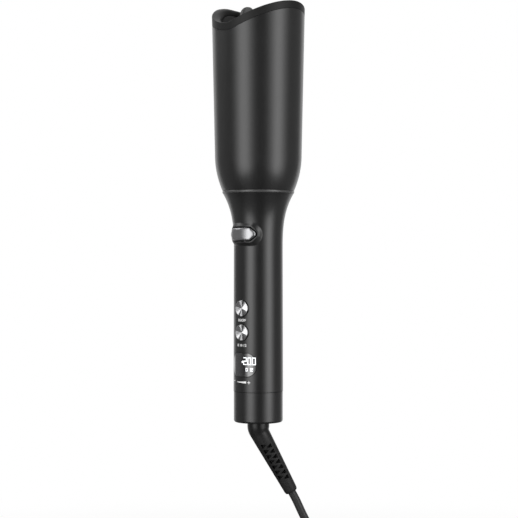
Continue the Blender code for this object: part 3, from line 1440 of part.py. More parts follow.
def cord_tube(name, points, resolution):
    """A round tube with flat ends along a row of points."""
    curve = bpy.data.curves.new(name, "CURVE")
    curve.dimensions = "3D"
    curve.bevel_depth = CORD_DIAMETER / 2
    curve.bevel_resolution = resolution
    curve.use_fill_caps = True
    line = curve.splines.new("POLY")
    line.points.add(len(points) - 1)
    for point, place in zip(line.points, points):
        point.co = (*place, 1)
    guide = new_object(name + "_line", curve)
    tube = new_object(name, evaluated_mesh(guide))
    bpy.data.objects.remove(guide, do_unlink=True)
    return tube


HANK_PITCH = HANK_PITCH_DIAMETERS * CORD_DIAMETER
HANK_INNER = HANK_FOLD_DIAMETERS * CORD_DIAMETER / 2
HANK_OUTER = HANK_INNER + HANK_LAYER_TURNS * HANK_PITCH
LOOP_STEPS = 2 * (LOOP_RUN_STEPS + LOOP_END_STEPS)
RUN_SHARE = LOOP_RUN_STEPS / LOOP_STEPS
WAIST_STEP = LOOP_RUN_STEPS // 2


def hank_point(turns):
    """The cord's place in the hank after so many turns, counted from the top of its right run.

    The loops spiral in on the far layer, climb along a run, and spiral out again on the near one.
    """
    if turns < HANK_LAYER_TURNS:
        width = HANK_INNER + HANK_PITCH * (HANK_LAYER_TURNS - turns)
    else:
        width = HANK_INNER + HANK_PITCH * max(turns - HANK_LAYER_TURNS - RUN_SHARE, 0)
    climb = min(max((turns - HANK_LAYER_TURNS) / RUN_SHARE, 0), 1)
    layer = HANK_PITCH * climb * climb * (3 - 2 * climb)
    part = turns % 1
    half_turn, along = divmod(part, 0.5)
    side = 1 if half_turn == 0 else -1
    if along < RUN_SHARE:
        z = HANK_HALF_RUN * (1 - 2 * along / RUN_SHARE)
        drawn = HANK_WAIST * math.cos(math.pi * z / (2 * HANK_HALF_RUN)) ** 2
        return Vector((side * (width - drawn), layer, side * z))
    turn = math.pi * (along - RUN_SHARE) / (0.5 - RUN_SHARE)
    return Vector(
        (side * width * math.cos(turn), layer, -side * (HANK_HALF_RUN + width * math.sin(turn)))
    )


def hank_line():
    """All points of the hank, with a straight diameter of cord at each end."""
    count = 2 * HANK_LAYER_TURNS * LOOP_STEPS + WAIST_STEP + 1
    points = [hank_point(step / LOOP_STEPS) for step in range(count)]
    lead = points[0] + Vector((0, 0, CORD_DIAMETER))
    end = Vector((points[-1].x, points[-1].y, -CORD_DIAMETER))
    return [lead] + points + [end]


def hank_place(point):
    return in_view_plane(HANK_X + point.x, point.y, HANK_Z + point.z)


def least_self_gap(points):
    """Smallest distance between two turns of the cord's surface, measured on points along it."""
    fine = []
    for a, b in zip(points, points[1:]):
        for share in np.linspace(0, 1, TINY_STEPS, endpoint=False):
            fine.append(a.lerp(b, share))
    place = np.array([tuple(p) for p in fine])
    walked = np.concatenate([[0], np.cumsum(np.linalg.norm(np.diff(place, axis=0), axis=1))])
    least = np.inf
    for i in range(len(place)):
        apart = walked > walked[i] + 3 * CORD_DIAMETER
        if apart.any():
            least = min(least, np.linalg.norm(place[apart] - place[i], axis=1).min())
    return least - CORD_DIAMETER


def make_tie():
    """The strap round the hank's waist: a flat band bent round a rounded rectangle."""
    reach = CORD_DIAMETER / 2 + TIE_GAP + TIE_THICKNESS / 2
    half_width = hank_point(WAIST_STEP / LOOP_STEPS).x + reach
    half_depth = HANK_PITCH / 2 + reach
    corner = reach
    sections = []
    for quarter in range(4):
        across = half_width - corner if quarter in (0, 3) else corner - half_width
        forward = half_depth - corner if quarter in (0, 1) else corner - half_depth
        for step in range(TIE_CORNER_STEPS + 1):
            turn = math.pi / 2 * (quarter + step / TIE_CORNER_STEPS)
            section = []
            for radius, z in ((-0.5, -0.5), (0.5, -0.5), (0.5, 0.5), (-0.5, 0.5)):
                out = corner + TIE_THICKNESS * radius
                point = Vector(
                    (
                        across + out * math.cos(turn),
                        forward + HANK_PITCH / 2 + out * math.sin(turn),
                        TIE_HEIGHT * z,
                    )
                )
                section.append(hank_place(point))
            sections.append(section)
    piece(loft("hank_tie", sections, ring_shaped=True), "cord_black", SWIVEL_AXIS)


def make_plug(top):
    """A flat moulded plug with two round pins, hanging from the end of the cord."""
    right, forward, z = top
    stations = []
    for along, wide, thick in PLUG_STATION_SHARES:
        half_width = (PLUG_NECK + (PLUG_WIDTH - PLUG_NECK) * wide) / 2
        half_depth = (PLUG_NECK + (PLUG_THICKNESS - PLUG_NECK) * thick) / 2
        level = z - PLUG_LENGTH * along
        section = []
        for side in range(PLUG_SIDES):
            turn = 2 * math.pi * side / PLUG_SIDES
            c = math.cos(turn)
            s = math.sin(turn)
            x = math.copysign(abs(c) ** (2 / PLUG_ROUNDNESS), c)
            y = math.copysign(abs(s) ** (2 / PLUG_ROUNDNESS), s)
            section.append(in_view_plane(right + half_width * x, forward + half_depth * y, level))
        stations.append(section)
    body = loft("plug_body", stations)
    face = z - PLUG_LENGTH
    pins = (("plug_pin_left", -1), ("plug_pin_right", 1))
    for name, side in pins:
        place = in_view_plane(right + side * PIN_SPACING / 2, forward, 0)
        seat = rod(name + "_seat", PIN_RADIUS + CLEARANCE, face - OVERRUN, face + PIN_SEAT, TINY_STEPS)
        seat.location = place
        combine(body, seat)
    piece(body, "cord_black", SWIVEL_AXIS)
    for name, side in pins:
        pin = rod(name, PIN_RADIUS, face - PIN_LENGTH, face + PIN_SEAT - CLEARANCE, TINY_STEPS)
        pin.location = in_view_plane(right + side * PIN_SPACING / 2, forward, 0)
        piece(pin, "steel", SWIVEL_AXIS)


def make_cord(boot_tip):
    """The free cord from the boot, the tied hank, and the short tail with its plug."""
    right, z, lean, _ = boot_tip
    run = Vector((math.sin(lean), 0, -math.cos(lean)))
    start = Vector((right, 0, z)) + run * CLEARANCE
    line = [start, start + run * CORD_DIAMETER]
    line += [Vector(point) for point in CORD_ROUTE]
    hank = hank_line()
    hank_top = Vector((HANK_X, 0, HANK_Z)) + hank[0]
    end = hank_top + Vector((0, 0, CLEARANCE))
    line += [end + Vector((0, 0, CORD_DIAMETER)), end]
    free, free_length = smooth_route(line, CORD_POINT_STEP)
    piece(cord_tube("power_cord", [in_view_plane(*p) for p in free], 2), "cord_black", SWIVEL_AXIS)

    piece(cord_tube("cord_hank", [hank_place(p) for p in hank], 1), "cord_black", SWIVEL_AXIS)
    hank_length = sum((b - a).length for a, b in zip(hank, hank[1:]))
    make_tie()

    tail_top = Vector((HANK_X, 0, HANK_Z)) + hank[-1] - Vector((0, 0, CLEARANCE))
    standout = TAIL_STANDOUT_DIAMETERS * CORD_DIAMETER
    drop = Vector((0, 0, -TAIL_DROP))
    tail_end = tail_top + drop + Vector((0, standout, 0))
    tail_line = [tail_top, tail_top + Vector((0, 0, -CORD_DIAMETER))]
    for low, out in TAIL_ROUTE_SHARES:
        tail_line.append(tail_top + drop * low + Vector((0, standout * out, 0)))
    tail_line += [tail_end + Vector((0, 0, CORD_DIAMETER)), tail_end]
    tail, tail_length = smooth_route(tail_line, CORD_DIAMETER)
    piece(cord_tube("cord_tail", [in_view_plane(*p) for p in tail], 2), "cord_black", SWIVEL_AXIS)
    make_plug(tail_end - Vector((0, 0, CLEARANCE)))

    total = free_length + hank_length + tail_length
    print(f"cord: {free_length:.4f} m free, {hank_length:.4f} m in the hank, {total:.4f} m in all")
    print(f"hank: least gap between turns {least_self_gap(hank) / MM:.2f} mm")


make_head()
make_crown_trim()
make_handle()
make_rocker()
make_button("power_button", "power_switch", POWER_BUTTON_Z, POWER_AXIS)
make_button("timer_button", "timer_switch", TIMER_BUTTON_Z, TIMER_AXIS)
make_chassis()
make_boards()
make_tail()
make_drive()
make_slip_rings()
make_rotor()
make_cord(make_boot())
bpy.context.view_layer.update()
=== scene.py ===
# %% [markdown]
# # An automatic hair curler, made ready for its portrait
#
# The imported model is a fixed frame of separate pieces, in metres, with the handle's axis on Z and
# the buttons facing -Y. Every piece made here is a finer stand-in for one of them, or a print on
# it, and goes where the model says. Pieces that are hidden inside keep the model's own shape and
# get a finish.

# %% The frame
import math

import bmesh
import bpy
import numpy as np
from mathutils import Matrix, Vector


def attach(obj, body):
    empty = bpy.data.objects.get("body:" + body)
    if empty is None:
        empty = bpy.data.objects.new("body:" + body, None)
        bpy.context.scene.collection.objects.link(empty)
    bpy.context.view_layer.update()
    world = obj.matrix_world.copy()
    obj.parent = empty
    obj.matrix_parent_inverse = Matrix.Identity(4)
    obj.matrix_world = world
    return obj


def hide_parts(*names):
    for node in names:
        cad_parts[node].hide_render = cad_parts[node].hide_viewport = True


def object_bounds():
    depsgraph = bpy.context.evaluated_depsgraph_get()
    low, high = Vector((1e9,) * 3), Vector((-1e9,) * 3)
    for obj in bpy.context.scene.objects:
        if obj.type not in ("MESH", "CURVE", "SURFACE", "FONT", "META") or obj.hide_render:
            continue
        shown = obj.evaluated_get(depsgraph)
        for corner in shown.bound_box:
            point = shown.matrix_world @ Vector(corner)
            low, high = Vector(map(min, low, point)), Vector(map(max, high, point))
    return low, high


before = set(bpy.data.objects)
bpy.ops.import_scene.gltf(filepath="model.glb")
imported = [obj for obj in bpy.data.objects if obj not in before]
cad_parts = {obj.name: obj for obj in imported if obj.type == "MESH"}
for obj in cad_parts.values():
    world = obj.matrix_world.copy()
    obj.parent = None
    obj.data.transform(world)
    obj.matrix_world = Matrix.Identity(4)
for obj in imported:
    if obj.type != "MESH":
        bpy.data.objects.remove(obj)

MM = 0.001
WHOLE_TURN, QUARTER_TURN = 2 * math.pi, math.pi / 2
CAD_BOX = [list(corner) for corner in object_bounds()]


def mm(*points):
    """Points that are written in millimetres."""
    return [tuple(value * MM for value in point) for point in points]


def arc(count, start=0, end=QUARTER_TURN):
    """The cosine and sine of even steps of a turn."""
    return [(math.cos(t), math.sin(t)) for t in np.linspace(start, end, count)]


def with_settings(thing, **settings):
    for name, value in settings.items():
        setattr(thing, name, value)
    return thing


# %% [markdown]
# ## The camera
#
# The photograph was taken level, from 42 degrees to the right of the buttons. A long lens from a
# metre away gives the crown its flat look. Heights are counted from the face of the end ring, as
# in the model's source, so one helper turns a place in the picture's plane into a point.

# %% Camera
GRIP_HEIGHT = 95.0 * MM
VIEW_ANGLE = math.radians(42)
EYE_RIGHT, EYE_DISTANCE, EYE_HEIGHT = 0.5 * MM, 1069 * MM, 115.8 * MM
SIDE = Vector((math.cos(VIEW_ANGLE), math.sin(VIEW_ANGLE), 0))
NEAR = Vector((math.sin(VIEW_ANGLE), -math.cos(VIEW_ANGLE), 0))
UP = Vector((0, 0, 1))


def in_view_plane(right, forward, height):
    """A point by its distance to the right in the picture, towards the camera, and its height."""
    return SIDE * right + NEAR * forward + UP * height


camera = bpy.data.objects.new("portrait_camera", bpy.data.cameras.new("portrait_camera"))
camera.data.sensor_width = 36
camera.data.lens = 104.3
camera.location = in_view_plane(EYE_RIGHT, EYE_DISTANCE, EYE_HEIGHT - GRIP_HEIGHT)
camera.rotation_euler = (QUARTER_TURN, 0, VIEW_ANGLE)
bpy.context.scene.collection.objects.link(camera)
bpy.context.scene.camera = camera
bpy.context.scene.view_settings.view_transform = "Standard"
print("camera:", [round(x, 3) for x in camera.location])

# %% [markdown]
# ## Nodes written as sentences
#
# Materials, the world and the Geometry Nodes trees are all node trees. One class adds nodes to
# any of them, and a second wraps an output, so that a sum or a product in Python adds its Math
# node.

# %% Node helpers


class Wire:
    """One output of a node. Sums and products of wires add their Math nodes."""

    def __init__(self, bench, socket):
        self.bench = bench
        self.socket = socket

    def __add__(self, other):
        return self.bench.maths("ADD", self, other)

    def __sub__(self, other):
        return self.bench.maths("SUBTRACT", self, other)

    def __rsub__(self, other):
        return self.bench.maths("SUBTRACT", other, self)

    def __mul__(self, other):
        return self.bench.maths("MULTIPLY", self, other)

    def __truediv__(self, other):
        return self.bench.maths("DIVIDE", self, other)

    __radd__ = __add__
    __rmul__ = __mul__


class Bench:
    """A node tree, and the one way in which nodes are added to it."""

    def __init__(self, tree):
        self.tree = tree

    def node(self, kind, values=(), **settings):
        """Adds a node: its settings first, then the values or wires of its sockets."""
        made = with_settings(self.tree.nodes.new(kind), **settings)
        self.feed(made, dict(values))
        return made

    def feed(self, made, values):
        for name, value in values.items():
            if isinstance(value, Wire):
                self.tree.links.new(value.socket, made.inputs[name])
            else:
                made.inputs[name].default_value = value

    def add(self, kind, values=(), output=0, **settings):
        """Adds a node and gives the wire of one output."""
        return Wire(self, self.node(kind, values, **settings).outputs[output])

    def maths(self, operation, *numbers):
        return self.add("ShaderNodeMath", enumerate(numbers), operation=operation)

    def vector(self, operation, *vectors, output=0):
        return self.add("ShaderNodeVectorMath", enumerate(vectors), output, operation=operation)

    def towards(self, vector, way):
        """How far a vector points one way."""
        return self.vector("DOT_PRODUCT", vector, tuple(way), output="Value")

    def axes(self, vector):
        """The three numbers of a vector."""
        parts = self.node("ShaderNodeSeparateXYZ", {0: vector})
        return [Wire(self, socket) for socket in parts.outputs]

    def smooth(self, value, low, high):
        """0 below low, 1 above high, with a soft step between."""
        values = {0: value, 1: low, 2: high, 3: 0.0, 4: 1.0}
        return self.add("ShaderNodeMapRange", values, interpolation_type="SMOOTHSTEP", clamp=True)

    def colours(self, share, first, second):
        """A colour between two colours."""
        return self.add("ShaderNodeMix", {0: share, 6: first, 7: second}, 2, data_type="RGBA")


def grey(level, warm=0.0):
    return (level * (1 + warm), level, level * (1 - warm), 1)


def dimmed(colour):
    return tuple(c * 0.9 for c in colour[:3]) + (1,)


print("node helpers: ready")

# %% [markdown]
# ## From a workpiece to a piece
#
# Shapes are made on a workpiece: an object whose modifiers are run once and then gone, so that
# what is left is a plain mesh. A finished piece stands at the origin with its place in its mesh,
# rides on one body of the model, and hides the node that it stands for. Weighted normals keep
# large faces flat next to small rounded edges.

# %% Workpieces
made_pieces = []


def mesh_from(name, points, faces=(), edges=()):
    mesh = bpy.data.meshes.new(name)
    mesh.from_pydata([tuple(p) for p in points], list(edges), list(faces))
    return mesh


def chain(name, points):
    """A row of points joined by edges."""
    return mesh_from(name, points, edges=[(i, i + 1) for i in range(len(points) - 1)])


def workpiece(name, mesh):
    thing = bpy.data.objects.new(name, mesh)
    bpy.context.scene.collection.objects.link(thing)
    return thing


def formed(thing):
    """The plain mesh that an object's modifiers make. The object itself goes."""
    bpy.context.view_layer.update()
    graph = bpy.context.evaluated_depsgraph_get()
    mesh = bpy.data.meshes.new_from_object(thing.evaluated_get(graph))
    bpy.data.objects.remove(thing, do_unlink=True)
    return mesh


def cleaned(mesh):
    """Merges what lies on one spot and turns every face outwards."""
    form = bmesh.new()
    form.from_mesh(mesh)
    bmesh.ops.remove_doubles(form, verts=form.verts, dist=0.001 * MM)
    bmesh.ops.dissolve_degenerate(form, dist=0.0001 * MM, edges=form.edges)
    bmesh.ops.recalc_face_normals(form, faces=form.faces)
    form.to_mesh(mesh)
    form.free()
    return mesh


def carved(mesh, *cutters):
    """The mesh with the cutters' shapes taken out of it."""
    body = workpiece("body", mesh)
    tools = [workpiece("cutter", cutter) for cutter in cutters]
    for tool in tools:
        cut = body.modifiers.new("cut", "BOOLEAN")
        with_settings(cut, operation="DIFFERENCE", solver="EXACT", object=tool)
    left = formed(body)
    for tool in tools:
        bpy.data.objects.remove(tool, do_unlink=True)
    return left


def joined(*meshes):
    form = bmesh.new()
    for mesh in meshes:
        form.from_mesh(mesh)
    whole = bpy.data.meshes.new("joined")
    form.to_mesh(whole)
    form.free()
    return whole


def settle(name, mesh, body, finish, nodes=(), sharp=38, drop=True):
    """Makes a piece of a mesh: cleaned, smoothed, put in place, and riding on its body."""
    cleaned(mesh)
    if drop:
        mesh.transform(Matrix.Translation((0, 0, -GRIP_HEIGHT)))
    mesh.shade_smooth()
    mesh.set_sharp_from_angle(angle=math.radians(sharp))
    thing = workpiece(name + "_form", mesh)
    with_settings(thing.modifiers.new("normals", "WEIGHTED_NORMAL"), weight=60, keep_sharp=True)
    piece = workpiece(name, formed(thing))
    piece.data.name = name
    piece.data.materials.clear()
    piece.data.materials.append(finish)
    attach(piece, body)
    if nodes:
        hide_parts(*nodes)
    made_pieces.append(piece)
    triangles = sum(len(face.vertices) - 2 for face in piece.data.polygons)
    print(f"{name}: {triangles} triangles, on {body}")
    return piece


# %% [markdown]
# ## Geometry Nodes as a lathe
#
# Most of this tool is turned: head, handle, end ring, buttons, barrel. The tree below takes a
# profile, a row of points by radius and height, and bends a grid to it: each column of the grid
# is one step of the turn, and each row reads its radius and height from the profile.

# %% Lathe, skins and corners


def new_tree(name, **sockets):
    """A bench with an empty Geometry Nodes tree that has its named inputs."""
    tree = bpy.data.node_groups.new(name, "GeometryNodeTree")
    for label, kind in {"Geometry": "Geometry", **sockets, "Material": "Material"}.items():
        tree.interface.new_socket(label, in_out="INPUT", socket_type="NodeSocket" + kind)
    tree.interface.new_socket("Geometry", in_out="OUTPUT", socket_type="NodeSocketGeometry")
    bench = Bench(tree)
    start = bench.node("NodeGroupInput")
    bench.given = {socket.name: Wire(bench, socket) for socket in start.outputs if socket.name}
    return bench


def end_tree(bench, geometry):
    """Every tree ends in real geometry that carries its material."""
    real = bench.add("GeometryNodeRealizeInstances", {0: geometry})
    values = {"Geometry": real, "Material": bench.given["Material"]}
    bench.node("NodeGroupOutput", {0: bench.add("GeometryNodeSetMaterial", values)})
    return bench.tree


def grown(name, mesh, tree, **inputs):
    """Runs a tree on a mesh. Inputs are set by the identifiers of their sockets."""
    thing = workpiece(name, mesh)
    modifier = thing.modifiers.new(name, "NODES")
    modifier.node_group = tree
    for item in tree.interface.items_tree:
        if item.in_out == "INPUT" and item.name in inputs:
            modifier[item.identifier] = inputs[item.name]
    return formed(thing)


def lathe_tree():
    bench = new_tree("lathe", Sides="Int")
    profile, sides = bench.given["Geometry"], bench.given["Sides"]
    rows = bench.add("GeometryNodeAttributeDomainSize", {0: profile}, component="MESH")
    grid = bench.add("GeometryNodeMeshGrid", {2: sides + 1, 3: rows})
    index = bench.add("GeometryNodeInputIndex")
    column = bench.maths("FLOOR", (index + 0.5) / rows)
    values = {"Geometry": profile, "Value": bench.add("GeometryNodeInputPosition")}
    values["Index"] = index - column * rows
    settings = {"data_type": "FLOAT_VECTOR", "domain": "POINT"}
    radius, _, height = bench.axes(bench.add("GeometryNodeSampleIndex", values, **settings))
    turn = column * WHOLE_TURN / sides
    x = radius * bench.maths("SINE", turn)
    y = radius * bench.maths("COSINE", turn) * -1
    spot = bench.add("ShaderNodeCombineXYZ", {0: x, 1: y, 2: height})
    bent = bench.add("GeometryNodeSetPosition", {"Geometry": grid, "Position": spot})
    values = {"Geometry": bent, "Distance": 0.001 * MM}
    return end_tree(bench, bench.add("GeometryNodeMergeByDistance", values))


LATHE = lathe_tree()
ROUNDED_FROM = math.radians(25)


def soften(profile, reach, steps=3):
    """Rounds every corner of a closed profile that turns by more than 25 degrees."""
    points = [Vector(p) for p in profile]
    out = []
    for i, point in enumerate(points):
        before = points[i - 1] - point
        after = points[(i + 1) % len(points)] - point
        if min(before.length, after.length) < 1e-9:
            continue
        if abs(point.x) < 1e-9 or math.pi - before.angle(after) < ROUNDED_FROM:
            out.append(point)
            continue
        cut = min(reach, 0.4 * before.length, 0.4 * after.length)
        first = point + before.normalized() * cut
        last = point + after.normalized() * cut
        for step in range(steps + 1):
            t = step / steps
            out.append(first * (1 - t) ** 2 + point * 2 * t * (1 - t) + last * t**2)
    return out


def turned(name, profile, sides=128, reach=0.25 * MM, closed=True):
    """A turned mesh. An open profile ends on the axis."""
    line = soften(profile, reach) if reach else [Vector(p) for p in profile]
    if closed:
        line.append(line[0])
    return cleaned(grown(name, chain(name, [(p.x, 0, p.y) for p in line]), LATHE, Sides=sides))


def skinned(name, rows, ring=False, caps=True):
    """A skin over rows of points, each row a closed loop."""
    size, count = len(rows[0]), len(rows)
    faces = []
    for a in range(count if ring else count - 1):
        b = (a + 1) % count
        for i in range(size):
            j = (i + 1) % size
            faces.append((a * size + i, a * size + j, b * size + j, b * size + i))
    if caps and not ring:
        faces += [tuple(range(size)), tuple(range((count - 1) * size, count * size))]
    return cleaned(mesh_from(name, [p for row in rows for p in row], faces))


def round_axis(angle, radius, height):
    """The point at an angle from the front, in radians, a radius and a height."""
    return Vector((radius * math.sin(angle), -radius * math.cos(angle), height))


def round_corners(half_length, half_height, corner, sides):
    """Steps round a rounded oblong: the middle of each corner, and the turn about it."""
    for quarter in range(4):
        across = half_length - corner if quarter in (0, 3) else corner - half_length
        level = half_height - corner if quarter in (0, 1) else corner - half_height
        for step in range(sides + 1):
            yield across, level, QUARTER_TURN * (quarter + step / sides)


print("lathe:", len(LATHE.nodes), "nodes")

# %% [markdown]
# ## Black plastics
#
# The body is moulded in black plastic with a satin lacquer: its lights are broad and soft, its
# edges catch the white room as a thin bright line. The lacquer's gloss is the refractive index
# and a middling roughness. What varies over it is small: a fine mould grain in the normals,
# and slow clouds in colour and roughness where hands and heat have been.

# %% Plastic finishes


class Finish(Bench):
    """A material with one shader, on a piece's own Object coordinates."""

    def __init__(self, name, **plain):
        self.material = bpy.data.materials.new(name)
        self.material.use_nodes = True
        super().__init__(self.material.node_tree)
        self.shader = self.tree.nodes["Principled BSDF"]
        self.place = self.add("ShaderNodeTexCoord", output="Object")
        self.give(**plain)

    def give(self, **values):
        """Feeds the shader's sockets: coat_ior is the one named Coat IOR."""
        for name, value in values.items():
            self.feed(self.shader, {name.replace("_", " ").title().replace("Ior", "IOR"): value})
        return self.material

    def noise(self, scale, detail=2.0, stretch=None):
        place = self.vector("MULTIPLY", self.place, stretch) if stretch else self.place
        return self.add("ShaderNodeTexNoise", {"Vector": place, "Scale": scale, "Detail": detail})

    def bump(self, height, depth):
        """Normals over a height from 0 to 1 that is depth metres deep."""
        return self.add("ShaderNodeBump", {"Strength": 1.0, "Distance": depth, "Height": height})


def plastic(name, level, roughness, grain=0.004 * MM, grain_size=0.35 * MM, warm=0.0, index=1.5):
    """Moulded plastic: a fine grain, and slow clouds in its colour and gloss."""
    coat = Finish(name, ior=index)
    clouds = coat.noise(70.0, 3.0)
    specks = coat.noise(1 / grain_size)
    shade = coat.colours(clouds, grey(level * 0.86, warm), grey(level * 1.14, warm))
    gloss = clouds * 0.05 + specks * 0.03 + (roughness - 0.04)
    return coat.give(base_color=shade, roughness=gloss, normal=coat.bump(specks, grain))


def boot_rubber():
    """Black rubber, smooth at the neck and duller past the bend, where the boot is handled."""
    coat = Finish("boot_rubber", ior=1.5)
    clouds = coat.noise(70.0, 3.0)
    smoothness = coat.smooth(coat.axes(coat.place)[2], -0.112, -0.099)
    shade = coat.colours(clouds, grey(0.005), grey(0.007))
    gloss = clouds * 0.05 - smoothness * 0.3 + 0.6
    grain = coat.bump(coat.noise(2500.0), 0.004 * MM)
    return coat.give(base_color=shade, roughness=gloss, normal=grain)


SATIN_BLACK = plastic("satin_black_lacquer", 0.006, 0.3, warm=-0.01, index=1.7)
TRIM_BLACK = plastic("dull_black_trim", 0.0045, 0.5, index=1.42)
BAND_SATIN = plastic("neck_band_satin", 0.045, 0.3, index=1.6)
LINER_GREY = plastic("chamber_plastic", 0.035, 0.45, index=1.6)
ROTOR_BLACK = plastic("rotor_plastic", 0.024, 0.36, index=1.6)
CORD_RUBBER = plastic("cord_rubber", 0.016, 0.48, grain=0.02 * MM, grain_size=0.5 * MM, index=1.55)
BOOT_RUBBER = boot_rubber()
INNER_GREY = plastic("inner_plastic", 0.22, 0.55)
INNER_DARK = plastic("inner_dark_plastic", 0.05, 0.5)
print("plastics: 9")

# %% [markdown]
# ## Metals, the window and the lit figures
#
# The rocker is plated, with the faintest lengthwise brushing. The buttons are spun: their rings
# are real grooves in the mesh, so the finish only varies its gloss a little. The window is
# smoked acrylic, a smooth black, and its figures glow just over it.

# %% Metal and window finishes


def metal(name, colour, roughness, scale=900.0, stretch=(1, 1, 1), depth=0.001 * MM):
    """Bare metal, brushed along the direction in which the stretch is small."""
    coat = Finish(name, metallic=1.0)
    strokes = coat.noise(scale, 3.0, stretch)
    clouds = coat.noise(90.0)
    gloss = strokes * 0.08 + clouds * 0.04 + (roughness - 0.04)
    shade = coat.colours(clouds, dimmed(colour), colour)
    return coat.give(base_color=shade, roughness=gloss, normal=coat.bump(strokes, depth))


CHROME = metal("plated_rocker", (0.44, 0.44, 0.45, 1), 0.28, 1500.0, (0.05, 0.05, 1.0), 0.0004 * MM)
SPUN_STEEL = metal("spun_button", (0.6, 0.6, 0.61, 1), 0.13, 300.0, depth=0.0)
STEEL = metal("zinc_plated_steel", (0.5, 0.5, 0.51, 1), 0.34)
COPPER = metal("copper", (0.72, 0.4, 0.25, 1), 0.3)
ALUMINIUM = metal("mill_aluminium", (0.68, 0.68, 0.7, 1), 0.36, 1200.0, (1, 1, 0.08))
NICKEL = metal("nickel_pin", (0.7, 0.68, 0.63, 1), 0.16, 1500.0, (1, 1, 0.05), 0.0004 * MM)


def smoked_window():
    coat = Finish("smoked_window", ior=1.7, coat_weight=1.0, coat_ior=1.95, coat_roughness=0.13)
    smears = coat.noise(120.0, 3.0, (1, 1, 0.5))
    shade = coat.colours(smears, (0.006, 0.006, 0.0065, 1), (0.01, 0.01, 0.011, 1))
    return coat.give(base_color=shade, roughness=smears * 0.06 + 0.12)


def lit(name, colour, strength):
    coat = Finish(name, roughness=0.4, emission_strength=strength)
    glow = coat.colours(coat.noise(700.0, 1.0), dimmed(colour), colour)
    return coat.give(base_color=glow, emission_color=glow)


def ink(name, level):
    coat = Finish(name)
    specks = coat.noise(4000.0)
    shade = coat.colours(specks, grey(level * 0.8), grey(level))
    return coat.give(base_color=shade, roughness=specks * 0.1 + 0.45)


WINDOW = smoked_window()
LIT_FIGURES = lit("lit_figures", (0.95, 0.98, 1.0, 1), 1.0)
PRINT_INK = ink("pale_print", 0.85)
print("metals, window, figures and ink: 9")

# %% [markdown]
# ## The cord
#
# A mains lead of 1.8 m leaves the swivel's boot, hangs in a loose curve, and is put away in a
# hank that a strap holds. Its path is worked out point by point: the smooth curve that hangs
# from the boot, the turns of the hank as a rule, and a short tail to the plug. Geometry Nodes
# then sweep a round section along it, in one continuous tube.

# %% Path of the cord
CORD_DIAMETER = 5.8 * MM
BOOT_BEND, BOOT_BEND_RADIUS = math.radians(28.5), 14.0 * MM
BOOT_ARC = BOOT_BEND * BOOT_BEND_RADIUS
BOOT_STRAIGHT, BOOT_TIP, BOOT_DROP = 43.8 * MM, 2.6 * MM, 2.5 * MM
HANK_X, HANK_Z = 19.0 * MM, -192.0 * MM
HANK_HALF_RUN, HANK_WAIST = 61.0 * MM, 13.5 * MM
HANK_PITCH, HANK_INNER = 1.18 * CORD_DIAMETER, 3.0 * CORD_DIAMETER
HANK_TURNS = 2
RUN_SHARE, WAIST_TURN = 5 / 24, 2 / 24


def boot_line(run):
    """Right, height and lean of the boot's middle line, at a run past its straight neck."""
    lean = min(run / BOOT_BEND_RADIUS, BOOT_BEND)
    past = max(run - BOOT_ARC, 0)
    right = BOOT_BEND_RADIUS * (1 - math.cos(lean)) + past * math.sin(BOOT_BEND)
    height = -BOOT_DROP - BOOT_BEND_RADIUS * math.sin(lean) - past * math.cos(BOOT_BEND)
    return right, height, lean


def hank_point(turns):
    """The cord's place in the hank: in on the far layer, up along a run, out on the near one."""
    if turns < HANK_TURNS:
        width = HANK_INNER + HANK_PITCH * (HANK_TURNS - turns)
    else:
        width = HANK_INNER + HANK_PITCH * max(turns - HANK_TURNS - RUN_SHARE, 0)
    climb = min(max((turns - HANK_TURNS) / RUN_SHARE, 0), 1)
    layer = HANK_PITCH * climb * climb * (3 - 2 * climb)
    half, along = divmod(turns % 1, 0.5)
    side = 1 if half == 0 else -1
    if along < RUN_SHARE:
        z = HANK_HALF_RUN * (1 - 2 * along / RUN_SHARE)
        drawn = HANK_WAIST * math.cos(math.pi * z / (2 * HANK_HALF_RUN)) ** 2
        return Vector((side * (width - drawn), layer, side * z))
    turn = math.pi * (along - RUN_SHARE) / (0.5 - RUN_SHARE)
    rise = HANK_HALF_RUN + width * math.sin(turn)
    return Vector((side * width * math.cos(turn), layer, -side * rise))


def smooth_line(points, step):
    """Points at an even step on a Catmull-Rom curve, with its first and last stretch straight."""
    fine = [points[0]]
    for a, b, c, d in zip(points, points[1:], points[2:], points[3:]):
        for share in np.linspace(0, 1, 24, endpoint=False):
            bend = (a * -1 + b * 3 - c * 3 + d) * share**3 + (a * 2 - b * 5 + c * 4 - d) * share**2
            fine.append((bend + (c - a) * share) / 2 + b)
    fine += [points[-2], points[-1]]
    return evenly(fine, step)


def evenly(points, step):
    walked = [0.0]
    for a, b in zip(points, points[1:]):
        walked.append(walked[-1] + (b - a).length)
    axes = list(zip(*points))
    marks = np.linspace(0, walked[-1], round(walked[-1] / step) + 1)
    return [Vector([np.interp(mark, walked, axis) for axis in axes]) for mark in marks]


def flat_points(*places):
    """Points of the picture's plane, by millimetres to the right, forward and up."""
    return [Vector(place) for place in mm(*places)]


